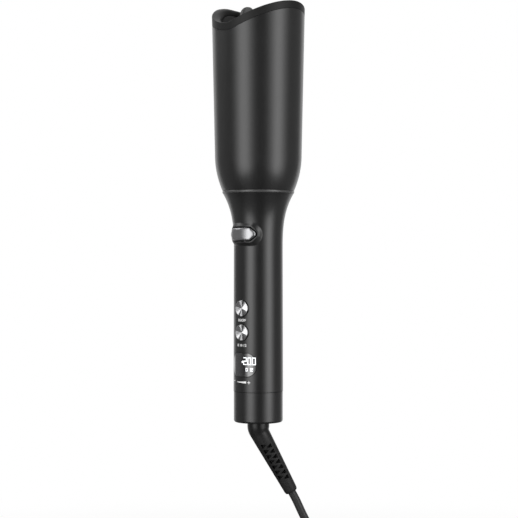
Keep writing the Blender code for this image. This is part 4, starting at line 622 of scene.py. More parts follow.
boot_end = boot_line(BOOT_ARC + BOOT_STRAIGHT + BOOT_TIP)
cord_run = Vector((math.sin(BOOT_BEND), 0, -math.cos(BOOT_BEND)))
cord_start = Vector((boot_end[0], 0, boot_end[1]))
one_cord = Vector((0, 0, CORD_DIAMETER))
hank_middle = Vector((HANK_X, 0, HANK_Z))
turn_marks = np.arange(0, 2 * HANK_TURNS + WAIST_TURN, 1 / 240)
hank = [hank_middle + hank_point(t) for t in turn_marks]
free = [cord_start - cord_run * 1.5 * MM, cord_start + cord_run * CORD_DIAMETER]
free += flat_points((31.3, 0, -65.2), (37.6, 0, -78.0), (42.9, 0, -92.0))
free += flat_points((46.8, 0, -106.0), (49.2, 0, -117.0))
free += [hank[0] + 2 * one_cord, hank[0] + one_cord]
tail_top = Vector((hank[-1].x, hank[-1].y, HANK_Z - CORD_DIAMETER))
tail_bends = flat_points((0, 4.7502, -12.24), (0, 9.2742, -19.04), (0, 11.31, -34.3))
*tail_middle, plug_top = [tail_top + bend for bend in tail_bends]
tail = [tail_top, tail_top - one_cord, *tail_middle, plug_top + one_cord, plug_top]
flat_path = evenly(smooth_line(free, 2 * MM) + hank + smooth_line(tail, 2 * MM), 2.4 * MM)
CORD_PATH = [in_view_plane(p.x, p.y, p.z - GRIP_HEIGHT) for p in flat_path]
cord_length = sum((b - a).length for a, b in zip(CORD_PATH, CORD_PATH[1:]))
print(f"cord: {len(CORD_PATH)} points, {cord_length:.3f} m")

# %% Tree that sweeps a round section along a path


def sweep_tree():
    bench = new_tree("sweep", Diameter="Float", Sides="Int")
    line = bench.add("GeometryNodeMeshToCurve", {"Mesh": bench.given["Geometry"]})
    values = {"Resolution": bench.given["Sides"], "Radius": bench.given["Diameter"] * 0.5}
    section = bench.add("GeometryNodeCurvePrimitiveCircle", values, mode="RADIUS")
    values = {"Curve": line, "Profile Curve": section, "Fill Caps": True}
    return end_tree(bench, bench.add("GeometryNodeCurveToMesh", values))


cord_chain = chain("cord", CORD_PATH)
cord_mesh = grown("cord", cord_chain, sweep_tree(), Diameter=CORD_DIAMETER, Sides=20)
cord_nodes = ("power_cord", "cord_hank", "cord_tail")
cord = settle(
    "mains_lead", cord_mesh, "cord_swivel", CORD_RUBBER, cord_nodes, drop=False
)

# %% [markdown]
# ## Strap, plug and pins
#
# The strap is a flat woven band round the hank's waist. The plug is a soft moulded body that a
# hand can pull on, so shallow ribs cross its sides. Its two round pins have black sleeves at
# their roots and rounded metal ends.

# %% Strap
STRAP_THICKNESS, STRAP_HEIGHT, STRAP_GAP = 1.2 * MM, 8 * MM, 0.5 * MM
STRAP_SIDE = ((-1, -0.8), (-1, 0.8), (-0.5, 1), (0.5, 1))
STRAP_SECTION = STRAP_SIDE + tuple((-out, -up) for out, up in STRAP_SIDE)


def woven(name, level):
    """A narrow woven tape: fine warp along the band and weft across it."""
    coat = Finish(name, roughness=0.8)
    x, y, z = coat.axes(coat.place)
    warp = coat.maths("SINE", z * (WHOLE_TURN / (0.7 * MM)))
    weft = coat.maths("SINE", (x + y) * (WHOLE_TURN / (1.0 * MM)))
    height = warp * weft * 0.5 + 0.5
    shade = coat.colours(height, grey(level * 0.5), grey(level * 1.4))
    return coat.give(base_color=shade, normal=coat.bump(height, 0.08 * MM))


strap_corner = CORD_DIAMETER / 2 + STRAP_GAP + STRAP_THICKNESS / 2
strap_half = (hank_point(WAIST_TURN).x + strap_corner, HANK_PITCH / 2 + strap_corner)
strap_rows = []
for across, forward, turn in round_corners(*strap_half, strap_corner, 8):
    row = []
    for out, up in STRAP_SECTION:
        reach = strap_corner + STRAP_THICKNESS / 2 * out
        x = HANK_X + across + reach * math.cos(turn)
        y = HANK_PITCH / 2 + forward + reach * math.sin(turn)
        row.append(in_view_plane(x, y, HANK_Z + STRAP_HEIGHT / 2 * up))
    strap_rows.append(row)
strap_mesh = skinned("strap", strap_rows, ring=True)
tape = woven("woven_tape", 0.02)
strap = settle("hank_strap", strap_mesh, "cord_swivel", tape, ["hank_tie"])

# %% Plug
PLUG_LENGTH, PLUG_WIDTH, PLUG_THICKNESS, PLUG_NECK = 38 * MM, 34 * MM, 13.7 * MM, 9.6 * MM
PLUG_PLACES = (0, 0.24, 0.42, 0.62, 0.94, 1)
PLUG_WIDES, PLUG_THICKS = (0, 0.06, 0.3, 0.84, 1, 0.97), (0, 0.12, 0.7, 1, 1, 0.9)
PLUG_EDGE, PLUG_SQUARENESS = 0.7 * MM, 3.2
RIB_DEPTH, RIBS_FROM, RIBS_TO, RIB_PITCH = 0.35 * MM, 0.46, 0.86, 0.08


def plug_row(along):
    """One row of the plug, at a share of its length: an oblong with round corners, ribbed."""
    wide = float(np.interp(along, PLUG_PLACES, PLUG_WIDES))
    thick = float(np.interp(along, PLUG_PLACES, PLUG_THICKS))
    end = min(along, 1 - along) * PLUG_LENGTH
    lack = PLUG_EDGE - math.sqrt(max(PLUG_EDGE**2 - max(PLUG_EDGE - end, 0) ** 2, 0))
    ribs = 0
    if RIBS_FROM < along < RIBS_TO:
        past = along - RIBS_FROM
        ribs = RIB_DEPTH * math.sin(math.pi * past / (RIBS_TO - RIBS_FROM))
        ribs *= 0.5 - 0.5 * math.cos(WHOLE_TURN * past / RIB_PITCH)
    half_width = (PLUG_NECK + (PLUG_WIDTH - PLUG_NECK) * wide) / 2 - lack
    half_depth = (PLUG_NECK + (PLUG_THICKNESS - PLUG_NECK) * thick) / 2 - lack
    row = []
    for c, s in arc(65, 0, WHOLE_TURN)[:-1]:
        x = math.copysign(abs(c) ** (2 / PLUG_SQUARENESS), c) * (half_width - ribs * abs(c) ** 4)
        y = math.copysign(abs(s) ** (2 / PLUG_SQUARENESS), s) * half_depth
        row.append(in_view_plane(plug_top.x + x, plug_top.y + y, plug_top.z - PLUG_LENGTH * along))
    return row


plug_marks = np.concatenate([[0, 0.008], np.linspace(0.02, 0.98, 60), [0.992, 1.0]])
plug_mesh = skinned("plug", [plug_row(along) for along in plug_marks])
plug = settle("plug", plug_mesh, "cord_swivel", CORD_RUBBER, ["plug_body"])

# %% Pins, turned, with their sleeves
PIN_RADIUS, PIN_LENGTH, PIN_SEAT, PIN_SPACING = 2.0 * MM, 19.0 * MM, 5.7 * MM, 19 * MM
plug_face = plug_top.z - PLUG_LENGTH
pin_end, sleeve_end, sleeve_seat = plug_face - PIN_LENGTH, plug_face - 10 * MM, plug_face + 1 * MM
core, tip = PIN_RADIUS * 0.9, PIN_RADIUS * 0.94
profile = [(0, plug_face + PIN_SEAT), (core, plug_face + PIN_SEAT)]
profile += [(core, sleeve_end), (tip, sleeve_end - 0.1 * MM)]
profile += [(tip * c, pin_end + PIN_RADIUS * (1 - s)) for c, s in arc(9)]
profile[-1] = (0, pin_end)
sleeve = [(PIN_RADIUS, sleeve_seat), (PIN_RADIUS, sleeve_end)]
sleeve += [(core, sleeve_end), (core, sleeve_seat)]
for label, hand in (("left", -1), ("right", 1)):
    spot = Matrix.Translation(in_view_plane(plug_top.x + hand * PIN_SPACING / 2, plug_top.y, 0))
    pin = turned("pin", profile, 32, 0, closed=False)
    for name, form, finish, slot, nodes in (
        ("pin", pin, NICKEL, "steel", [f"plug_pin_{label}"]),
        ("pin_sleeve", turned("sleeve", sleeve, 32, 0.1 * MM), CORD_RUBBER, "cord_black", []),
    ):
        form.transform(spot)
        settle(f"{name}_{label}", form, "cord_swivel", finish, nodes)

start_point = in_view_plane(cord_start.x, cord_start.y, cord_start.z - GRIP_HEIGHT)

# %% [markdown]
# ## The boot
#
# A strain relief has to bend more easily towards its tip, so it tapers and slots are moulded
# into its front and back, in two staggered columns of blunt wedges. The slots repeat, so one
# wedge is made and Geometry Nodes set a copy of it on every point of a small cloud, turned by
# an attribute of that point. The whole cloud is then cut out of the boot.

# %% Boot body and its slots
BOOT_NECK, BOOT_WAIST, BOOT_END, BOOT_TIP_RADIUS = 7.8, 6.85, 4.75, 3.4
FLANGE = mm((8.3, 9.2), (8.0, 9.5), (6.6, 9.5), (6.3, 9.2))
NECK = mm((6.3, 8.0), (6.0, 7.7), (2, 7.7), (-1, 7.8))
SLOT_ROWS, SLOTS_START, SLOT_PITCH = 7, BOOT_ARC + 8.6 * MM, 4.2 * MM
SLOT_WIDTH, SLOT_LENGTH, SLOT_DEPTH, SLOT_STAGGER = 4.0 * MM, 3.6 * MM, 3.4 * MM, 1.5 * MM


def boot_radius(run):
    """Radius of the boot past its neck: an easy waist in the bend, then a plain taper and a tip."""
    if run < BOOT_ARC:
        share = (run / BOOT_ARC) ** 1.5
        return (BOOT_NECK + (BOOT_WAIST - BOOT_NECK) * share * share * (3 - 2 * share)) * MM
    share = (run - BOOT_ARC) / BOOT_STRAIGHT
    if share <= 1:
        return (BOOT_WAIST + (BOOT_END - BOOT_WAIST) * share) * MM
    tip = min((run - BOOT_ARC - BOOT_STRAIGHT) / BOOT_TIP, 1)
    return (BOOT_TIP_RADIUS + (BOOT_END - BOOT_TIP_RADIUS) * math.sqrt(1 - tip * tip)) * MM


def boot_frame(run):
    """The boot's middle at a run, and the directions across it, to the viewer and along it."""
    right, height, lean = boot_line(run)
    across = in_view_plane(math.cos(lean), 0, math.sin(lean))
    down = in_view_plane(math.sin(lean), 0, -math.cos(lean))
    return in_view_plane(right, 0, height), across, NEAR, down


def boot_section(run, radius, lift=0.0):
    middle, across, near, _ = boot_frame(run)
    round_steps = arc(65, 0, WHOLE_TURN)[:-1]
    return [middle + UP * lift + (across * c + near * s) * radius for c, s in round_steps]


tip_runs = BOOT_ARC + BOOT_STRAIGHT + BOOT_TIP * np.sin(np.linspace(0, QUARTER_TURN, 9))
bend_runs, straight_runs = np.linspace(0, BOOT_ARC, 14), np.linspace(BOOT_ARC, tip_runs[0], 40)
runs = np.concatenate([bend_runs, straight_runs[1:], tip_runs[1:]])
rows = [boot_section(0, radius, height + BOOT_DROP) for height, radius in FLANGE + NECK]
boot_mesh = skinned("boot", rows + [boot_section(run, boot_radius(run)) for run in runs])


def slots_tree():
    bench = new_tree("boot_slots", Wedge="Object")
    wedge = bench.add("GeometryNodeObjectInfo", {"Object": bench.given["Wedge"]}, "Geometry")
    turn = bench.add("GeometryNodeInputNamedAttribute", {"Name": "turn"}, data_type="FLOAT_VECTOR")
    values = {"Points": bench.given["Geometry"], "Instance": wedge, "Rotation": turn}
    return end_tree(bench, bench.add("GeometryNodeInstanceOnPoints", values))


def wedge_mesh():
    """One slot's wedge: narrow towards the boot's middle, its blunt corners rounded."""
    outline = soften([(-1, 0), (1, -1), (1, 1)], 0.45, 5)
    rows = []
    for level in (-SLOT_DEPTH, 1.5 * MM):
        rows.append([(p.x * SLOT_WIDTH / 2, level, p.y * SLOT_LENGTH / 2) for p in outline])
    return skinned("wedge", rows)


places, turns = [], []
for index in range(SLOT_ROWS):
    run = SLOTS_START + SLOT_PITCH * index
    middle, across, near, down = boot_frame(run)
    for facing in (-1, 1):
        for column in (-1, 1):
            spot = middle + (across * SLOT_STAGGER + down * SLOT_PITCH / 4) * column
            places.append(spot + near * facing * boot_radius(run))
            axes = Matrix((across * column, near * facing, down * column * facing))
            turns.append(axes.transposed().to_euler())
cloud = mesh_from("cloud", places)
angles = cloud.attributes.new("turn", "FLOAT_VECTOR", "POINT")
angles.data.foreach_set("vector", [a for turn in turns for a in turn])
wedge = workpiece("wedge", wedge_mesh())
slots = cleaned(grown("slots", cloud, slots_tree(), Wedge=wedge))
bpy.data.objects.remove(wedge, do_unlink=True)
print("boot: slots", len(places))
boot_mesh = carved(boot_mesh, slots)
settle("boot", boot_mesh, "cord_swivel", BOOT_RUBBER, ["cord_boot"], sharp=32)

# %% [markdown]
# ## Handle, neck and end ring
#
# The handle and its flared neck are one moulding. Its outer line is two rules from the model: a
# slight taper, then a cubic flare. The windows for the display, the rocker and the buttons are
# cut as real holes, so that each control sits in its own dark gap.

# %% Lines of the body
HANDLE_FOOT_Z, HANDLE_TOP_Z, NECK_TOP_Z, BAND_TOP_Z = (z * MM for z in (22.0, 122.0, 162.6, 164.0))
HEAD_FOOT_Z, BOWL_TOP_Z, CROWN_PEAK_Z, CROWN_DIP_Z = (z * MM for z in (164.3, 190.3, 296.4, 280.8))
HEAD_TOP_RADIUS, LINER_RADIUS, LINER_OUTER_RADIUS = 33.2 * MM, 26.316 * MM, 27.716 * MM
NECK_RISE, BOWL_RISE = 40.6 * MM, 26 * MM
WALL, HEAD_WALL = 2 * MM, 2.2 * MM


def handle_radius(z):
    along = min(max((z - HANDLE_FOOT_Z) / (HANDLE_TOP_Z - HANDLE_FOOT_Z), 0), 1)
    rise = max((z - HANDLE_TOP_Z) / NECK_RISE, 0)
    return (17.62 - 0.22 * along + 7.9 * rise**3) * MM


def head_radius(z):
    along = (z - HEAD_FOOT_Z) / BOWL_RISE
    if along < 1:
        return (30.9 - 5.4 * (1 - along) ** 2.1) * MM
    return 30.9 * MM + 2.3 * MM * (z - BOWL_TOP_Z) / (CROWN_PEAK_Z - BOWL_TOP_Z)


def inside(radius_at, z, wall):
    """Inner radius of a wall that keeps its thickness square to the slope."""
    slope = (radius_at(z) - radius_at(z - 0.01 * MM)) / (0.01 * MM)
    return radius_at(z) - wall * math.hypot(1, slope)


def stadium(half_length, half_height, corner):
    """Outline of a rounded panel, unrolled, from its right end round and back."""
    points = []
    for across, level, turn in round_corners(half_length, half_height, corner, 24):
        points.append(Vector((across + corner * math.cos(turn), level + corner * math.sin(turn))))
    return dense(points)


def dense(points, step=1.2 * MM):
    """Adds points on an outline's long straight stretches, so that they can bend round the body."""
    out = []
    for a, b in zip(points, points[1:] + points[:1]):
        count = max(1, round((b - a).length / step))
        out += [a.lerp(b, i / count) for i in range(count)]
    return out


def shrunk(outline, share):
    """The outline drawn in towards its own middle line: 1 is the outline, 0 the middle line."""
    half_length = max(p.x for p in outline)
    half_height = max(p.y for p in outline)
    straight = max(half_length - half_height, 0)
    middles = [Vector((min(max(p.x, -straight), straight), 0)) for p in outline]
    return [m + (p - m) * share for m, p in zip(middles, outline)]


def bent(outline, radius, z, reference):
    """Lays an outline round the body at a height; its lengths are measured at the reference."""
    return [round_axis(p.x / reference, radius, z + p.y) for p in outline]


def slab(name, outline, z, reference, levels, back):
    """A bent panel: levels are (inset, radius) from its side to its face, which closes."""
    half_height = max(p.y for p in outline)
    rounds = [(share, back) for share in (0, 0.4, 0.8, 1)]
    rounds += [(1 - inset / half_height, radius) for inset, radius in levels]
    share, face = rounds[-1]
    rounds += [(share, face) for share in np.linspace(share, 0, 7)[1:]]
    rows = [bent(shrunk(outline, share), radius, z, reference) for share, radius in rounds]
    return skinned(name, rows, caps=False)


def panel_cutter(z, reference, half_length, half_height, corner, depth, grow):
    outline = stadium(half_length + grow, half_height + grow, corner + grow)
    ends = (reference - depth, reference + 4 * MM)
    return skinned("cutter", [bent(outline, radius, z, reference) for radius in ends])


DISPLAY_Z, TIMER_Z, POWER_Z, ROCKER_Z = (z * MM for z in (41.2, 64.0, 81.0, 133.2))
display_radius, neck_radius = handle_radius(DISPLAY_Z), handle_radius(ROCKER_Z)
bezel_face, rocker_face = neck_radius + 1.7 * MM, neck_radius + 2.6 * MM
DISPLAY = (display_radius * math.radians(38.5), 8.3 * MM, 7.6 * MM)
BEZEL = (bezel_face * math.radians(44), 7.0 * MM, 7.0 * MM)
BUTTON_RADIUS, BUTTON_GAP = 5.7 * MM, 0.35 * MM
print(f"neck radius at the rocker: {neck_radius / MM:.2f} mm")

# %% Handle with its holes, and the end ring
BAND_RADIUS = 24.9 * MM


def face_front(mesh, z):
    """Lays a turned shape along the line that points out of the front, at a height."""
    mesh.transform(Matrix.Translation((0, 0, z)) @ Matrix.Rotation(QUARTER_TURN, 4, "X"))
    return mesh


flare = [NECK_TOP_Z - NECK_RISE * (1 - s) for c, s in arc(26, QUARTER_TURN, 0.02)]
neck_inner = inside(handle_radius, NECK_TOP_Z, WALL)
profile = [(BAND_RADIUS, BAND_TOP_Z), (BAND_RADIUS, NECK_TOP_Z - 0.2 * MM)]
profile += [(handle_radius(z), z) for z in flare if z < NECK_TOP_Z - 0.2 * MM]
profile += [(handle_radius(z), z) for z in np.linspace(HANDLE_TOP_Z, HANDLE_FOOT_Z, 28)]
inner = [HANDLE_FOOT_Z, HANDLE_TOP_Z] + flare[:0:-1]
profile += [(inside(handle_radius, z, WALL), z) for z in inner]
profile += [(neck_inner, NECK_TOP_Z), (neck_inner, BAND_TOP_Z)]
cutters = [
    panel_cutter(DISPLAY_Z, display_radius, *DISPLAY, 6 * MM, 0.22 * MM),
    panel_cutter(ROCKER_Z, bezel_face, *BEZEL, 7 * MM, 0.15 * MM),
]
hole = [(BUTTON_RADIUS + BUTTON_GAP, reach) for reach in (10 * MM, 30 * MM)] + mm((0, 30), (0, 10))
for z in (TIMER_Z, POWER_Z):
    cutters.append(face_front(turned("hole", hole, 72, 0, closed=False), z))
handle_mesh = carved(turned("handle", profile, 144, 0.12 * MM), *cutters)
settle("handle", handle_mesh, "housing", SATIN_BLACK, ["handle_tube"], sharp=30)

band = [(BAND_RADIUS, BAND_TOP_Z), (BAND_RADIUS, NECK_TOP_Z - 0.1 * MM)]
for c, s in arc(11, -1.2, 1.2):
    z = (BAND_TOP_Z + NECK_TOP_Z) / 2 + 0.95 * MM * s
    band.append((BAND_RADIUS + 0.2 * MM + 0.5 * MM * c, z))
band_mesh = turned("band", band[::-1], 144, 0)
settle("neck_band", band_mesh, "housing", BAND_SATIN, sharp=60)

profile = mm((17.42, 21.8), (17.42, 12))
profile += mm(*[(17.42 - 1.5 * (1 - s), 1.5 * (1 - c)) for c, s in arc(9, QUARTER_TURN, 0)])
profile += mm((8.1, 0), (8.1, 2), (15.42, 2), (15.42, 14.5), (14.62, 14.5), (14.62, 15.9))
profile += mm((15.42, 15.9), (15.42, 21.8))
ring_mesh = turned("end_ring", profile, 144, 0.12 * MM)
settle("end_ring", ring_mesh, "end_dial", SATIN_BLACK, ["temperature_dial"])

# %% [markdown]
# ## Display
#
# The window lies flush in the handle and bends with it. Its figures are plain seven-segment
# numbers, drawn flat as small bars and then wrapped on the window a hair above it.

# %% Window
levels = [(0, 0.3), (0.06, 0.08), (0.25, 0)]
levels = [(inset * MM, display_radius - lack * MM) for inset, lack in levels]
back = display_radius - 1.6 * MM
window_mesh = slab("window", stadium(*DISPLAY), DISPLAY_Z, display_radius, levels, back)
settle("window", window_mesh, "housing", WINDOW, ["display_window"])

# %% Figures and marks
SEGMENTS = {"0": "abcdef", "1": "bc", "2": "abged"}
STRIP, LIFT, THICKNESS = 0.5 * MM, 0.03 * MM, 0.02 * MM


def bar(x, y, width, height):
    return [(x, y), (x + width, y), (x + width, y + height), (x, y + height)]


def figure(digit, left, foot, width, height, thick):
    """The bars of one seven-segment figure, as quads, in millimetres."""
    half, gap = height / 2, thick * 0.12
    right, upper, tall = left + width - thick, foot + half + gap, half - gap
    parts = {
        "a": (left, foot + height - thick, width, thick),
        "d": (left, foot, width, thick),
        "g": (left, foot + half - thick / 2, width, thick),
        "f": (left, upper, thick, tall),
        "b": (right, upper, thick, tall),
        "e": (left, foot, thick, tall),
        "c": (right, foot, thick, tall),
    }
    return [bar(*parts[key]) for key in SEGMENTS[digit]]


def flat_shapes(shapes):
    """Flat outlines in millimetres as one mesh of faces."""
    points, faces = [], []
    for shape in shapes:
        faces.append([len(points) + i for i in range(len(shape))])
        points += mm(*[(x, y, 0) for x, y in shape])
    return mesh_from("flat", points, faces)


def wrapped(flat, z, radius_at):
    """Slices a flat mesh into upright strips, bends it round the body, and gives it a thin edge."""
    form = bmesh.new()
    form.from_mesh(flat)
    bmesh.ops.remove_doubles(form, verts=form.verts, dist=0.001 * MM)
    for x in np.arange(-12 * MM, 12 * MM, STRIP):
        everything = form.verts[:] + form.edges[:] + form.faces[:]
        bmesh.ops.bisect_plane(form, geom=everything, plane_co=(x, 0, 0), plane_no=(1, 0, 0))
    bmesh.ops.recalc_face_normals(form, faces=form.faces)
    top = bmesh.ops.extrude_face_region(form, geom=form.faces[:])["geom"]
    raised = {v for v in top if isinstance(v, bmesh.types.BMVert)}
    for vert in form.verts:
        reach = radius_at(z + vert.co.y) + LIFT + (THICKNESS if vert in raised else 0)
        vert.co = round_axis(vert.co.x / radius_at(z), reach, z + vert.co.y)
    bmesh.ops.remove_doubles(form, verts=form.verts, dist=0.001 * MM)
    whole = in_order(form)
    form.free()
    return whole


def in_order(form):
    """A mesh whose points and faces lie in one order, which cuts and extrusions don't keep."""
    verts = sorted(form.verts, key=lambda vert: tuple(vert.co))
    rank = {vert: i for i, vert in enumerate(verts)}
    faces = sorted([rank[vert] for vert in face.verts] for face in form.faces)
    return mesh_from("wrapped", [vert.co for vert in verts], faces)


shapes = [[(0.0, 2.3), (1.1, 1.2), (1.1, 3.4)]]
for left, digit in ((1.75, "2"), (5.1, "0"), (8.45, "0")):
    shapes += figure(digit, left, 0.25, 2.65, 5.2, 0.5)
for left, digit in ((3.6, "0"), (5.9, "1"), (7.6, "2")):
    shapes += figure(digit, left, -4.3, 1.5, 2.4, 0.34)
figures_mesh = wrapped(flat_shapes(shapes), DISPLAY_Z, lambda z: display_radius)
settle("lit_figures", figures_mesh, "housing", LIT_FIGURES)

# %% [markdown]
# ## Printed marks
#
# What a maker would print here is left off. In its place are marks that any such tool could
# have: the words on and off below the power button, plain seconds below the timer button, and
# a small wedge between a minus and a plus below the display. Letters come from a text object
# that is made a mesh while it is still flat.

# %% Marks


def lettering(text, size, width):
    """A text's faces, flat, centred, as a mesh of a set width."""
    curve = with_settings(bpy.data.curves.new("letters", "FONT"), body=text, size=size)
    with_settings(curve, align_x="CENTER", align_y="CENTER", resolution_u=3, offset=0.05 * MM)
    mesh = formed(workpiece("letters", curve))
    reach = max(abs(v.co.x) for v in mesh.vertices)
    mesh.transform(Matrix.Diagonal((width / 2 / reach, 1, 1, 1)))
    return mesh


wedge_marks = [
    [(-5.0, -0.12), (4.0, -0.75), (4.0, 0.75), (-5.0, 0.12)],
    bar(-10.0, 0.3, 2.2, 0.5),
    bar(5.0, -0.32, 2.2, 0.44),
    bar(5.88, -1.2, 0.44, 0.88),
    bar(5.88, 0.12, 0.44, 0.88),
]
for name, flat, z in (
    ("print_on_off", lettering("ON/OFF", 2.6 * MM, 7.4 * MM), 72.6 * MM),
    ("print_seconds", lettering("8 10 12", 2.6 * MM, 8.4 * MM), 55.0 * MM),
    ("print_wedge", flat_shapes(wedge_marks), 29.1 * MM),
):
    settle(name, wrapped(flat, z, handle_radius), "housing", PRINT_INK)

# %% [markdown]
# ## Buttons
#
# Each button's face was spun on a lathe with a fine tool, which leaves rings. Lamps stretch
# over rings into the bright and dark fans that such a face shows. The rings are far finer than
# a pixel, so a bump would be lost; they are turned into the mesh as a wave on the profile.

# %% Buttons with real rings
RING_PITCH, RING_HEIGHT, DISH = 0.25 * MM, 0.036 * MM, 0.5 * MM
FLANGE_RADIUS, FLANGE_THICKNESS = 6.9 * MM, 1.2 * MM


def button_profile(z):
    face = handle_radius(z) + 0.45 * MM
    flange_front = math.sqrt((15.4 * MM) ** 2 - FLANGE_RADIUS**2) - 0.3 * MM
    flange_back = flange_front - FLANGE_THICKNESS
    profile = [(0, face - DISH)]
    for radius in np.arange(0.0625, 5.4, 0.0625) * MM:
        dish = DISH * min(max((5.36 * MM - radius) / (4.45 * MM), 0), 1)
        ring = RING_HEIGHT * math.sin(WHOLE_TURN * radius / RING_PITCH)
        profile.append((radius, face - dish + ring))
    profile += [(5.5 * MM, face - 0.02 * MM), (5.64 * MM, face - 0.14 * MM)]
    profile += [(BUTTON_RADIUS, face - 0.35 * MM), (BUTTON_RADIUS, flange_front)]
    profile += [(FLANGE_RADIUS, flange_front), (FLANGE_RADIUS, flange_back), (2 * MM, flange_back)]
    return profile + [(2 * MM, flange_back - 1 * MM), (0, flange_back - 1 * MM)]


for name, z in (("power", POWER_Z), ("timer", TIMER_Z)):
    button = name + "_button"
    mesh = face_front(turned(button, button_profile(z), 96, 0, closed=False), z)
    settle(button + "_cap", mesh, name + "_key", SPUN_STEEL, [button], sharp=50)

# %% [markdown]
# ## Rocker
#
# The direction rocker is a plated plate in a raised black frame. Both are pills bent round the
# neck, with ends that run straight to a blunt tip. The frame is skinned between two outlines,
# from its outer foot over a rounded lip and down into the opening; the plate closes on its own
# face.

# %% Frame and plate
PLATE_HALF_LENGTH, PLATE_HALF_HEIGHT = rocker_face * math.radians(36.5), 4.55 * MM
OPENING_HALF_LENGTH, OPENING_HALF_HEIGHT = PLATE_HALF_LENGTH + 0.95 * MM, 5.05 * MM
LIP_SHARE, LIP = 0.84, 0.5


def matched(outline, passes=0):
    """An outline in even steps from its right end, so that two outlines pair up, and softened."""
    closed = outline + outline[:1]
    walked = np.concatenate([[0], np.cumsum([(b - a).length for a, b in zip(closed, closed[1:])])])
    marks = np.linspace(0, walked[-1], 240, endpoint=False)
    line = np.stack([np.interp(marks, walked, [p[axis] for p in closed]) for axis in (0, 1)])
    for _ in range(passes):
        line = (np.roll(line, 1, 1) + line * 2 + np.roll(line, -1, 1)) / 4
    return [Vector(p) for p in line.T]


def pointed(half_length, half_height, passes):
    """A pill whose ends run straight to a blunt tip."""
    straight, blunt = half_length - half_height, 0.24 * half_height
    right = [Vector(p) for p in ((half_length, 0), (half_length, blunt), (straight, half_height))]
    left = [Vector((-p.x, p.y)) for p in reversed(right)]
    under = [Vector((p.x, -p.y)) for p in reversed(right[1:] + left[:-1])]
    return matched(right + left + under, passes)


def even_climb(share, blend=0.2):
    """From 0 to 1 at an even slope, eased in and out over the blend."""
    if share > 0.5:
        return 1 - even_climb(1 - share, blend)
    return (share * share / (2 * blend) if share < blend else share - blend / 2) / (1 - blend)


def mound(share, lift):
    """A row of the frame: share 0 is its foot on the neck, 1 is the edge of the opening."""
    row = []
    for foot, edge in zip(foot_line, inner_line):
        p = foot.lerp(edge, share)
        climb = even_climb(min(max(share / LIP_SHARE, 0), 1))
        radius = handle_radius(ROCKER_Z + p.y) * (1 - climb) + bezel_face * climb + lift * MM
        row.append(round_axis(p.x / bezel_face, radius, ROCKER_Z + p.y))
    return row


inner_line = pointed(OPENING_HALF_LENGTH * bezel_face / rocker_face, OPENING_HALF_HEIGHT, 10)
foot_line = matched(stadium(BEZEL[0] + 2.6 * MM, BEZEL[1] + 1.4 * MM, BEZEL[2] + 1.4 * MM))
frame_levels = [(0.1, -1.2), (0, -0.3)] + [(share, 0) for share in np.linspace(0, LIP_SHARE, 15)]
frame_levels += [(LIP_SHARE + (1 - LIP_SHARE) * s, LIP * c - LIP) for c, s in arc(6)[1:]]
frame_levels += [(1, -1.2), (1, -4.4), (0.5, -3.6)]
mound_mesh = skinned("bezel", [mound(share, lift) for share, lift in frame_levels], ring=True)
settle(
    "rocker_frame", mound_mesh, "housing", SATIN_BLACK, ["rocker_bezel"], sharp=45
)

plate_line = pointed(PLATE_HALF_LENGTH, PLATE_HALF_HEIGHT, 14)
levels = [(0, rocker_face - 1.3 * MM), (0.06 * MM, rocker_face - 1.12 * MM)]
for depth in np.linspace(0.03, 1, 22):
    levels.append((4.5 * MM * depth, rocker_face - 0.75 * MM * (1 - depth) ** 6))
plate_mesh = slab("plate", plate_line, ROCKER_Z, rocker_face, levels, rocker_face - 2 * MM)
settle("rocker_plate", plate_mesh, "rocker", CHROME, ["direction_rocker"], sharp=45)

# %% [markdown]
# ## The waved crown
#
# The head is two thin walls, a lacquered shell and a liner cup, and one dark trim caps both: it
# rises and falls round the mouth, turns down at the two petals, runs down the sides of the
# hair slot and crosses its foot. One line, unrolled flat, is the rule for all of it. The trim
# is a row of offsets of that line, and shell and liner are cut along one more offset.

# %% The crown's line
PETALS = ((96, 1.08, 15.6 * MM), (90, 1.65, 16.5 * MM))
DIP_ANGLE, SLOT_ANGLE = 3, 142
PETAL_FALL, PETAL_CORNER = 4.5 * MM, 7 * MM
SLOT_DRAFT, SLOT_CORNER, SILL_Z = 1.2 * MM, 8 * MM, 194.0 * MM
GIRTH = 2 * HEAD_TOP_RADIUS * math.pi
ONE_ROUND = Vector((GIRTH, 0, 0))


def rim_height(angle, peak_angle, power, rise):
    if angle < DIP_ANGLE:
        return CROWN_DIP_Z
    if angle < peak_angle:
        share = (angle - DIP_ANGLE) / (peak_angle - DIP_ANGLE)
        return CROWN_DIP_Z + rise * math.sin(QUARTER_TURN * share**power)
    share = (angle - peak_angle) / (SLOT_ANGLE - peak_angle)
    return CROWN_DIP_Z + rise - PETAL_FALL * share**1.6


def rim_line(*wave):
    """Half of the crown's edge, unrolled: arc length from the front, and height."""
    side = HEAD_TOP_RADIUS * math.radians(SLOT_ANGLE)
    shoulder, foot = side - PETAL_CORNER, side + SLOT_DRAFT
    marks = [*np.linspace(0, shoulder, 160, endpoint=False), shoulder]
    line = [(u, rim_height(math.degrees(u / HEAD_TOP_RADIUS), *wave)) for u in marks]
    top = line.pop()[1]
    line += [(shoulder + PETAL_CORNER * s, top - PETAL_CORNER * (1 - c)) for c, s in arc(20)]
    line += [(foot + SLOT_CORNER * (1 - c), SILL_Z + SLOT_CORNER * (1 - s)) for c, s in arc(20)]
    return line + [(u, SILL_Z) for u in np.linspace(foot + SLOT_CORNER, GIRTH / 2, 12)[1:]]


def threes(line):
    """Each point of the closed line between the ones before and after it."""
    ring = [line[-1] - ONE_ROUND] + line + [line[0] + ONE_ROUND]
    return zip(ring, ring[1:], ring[2:])


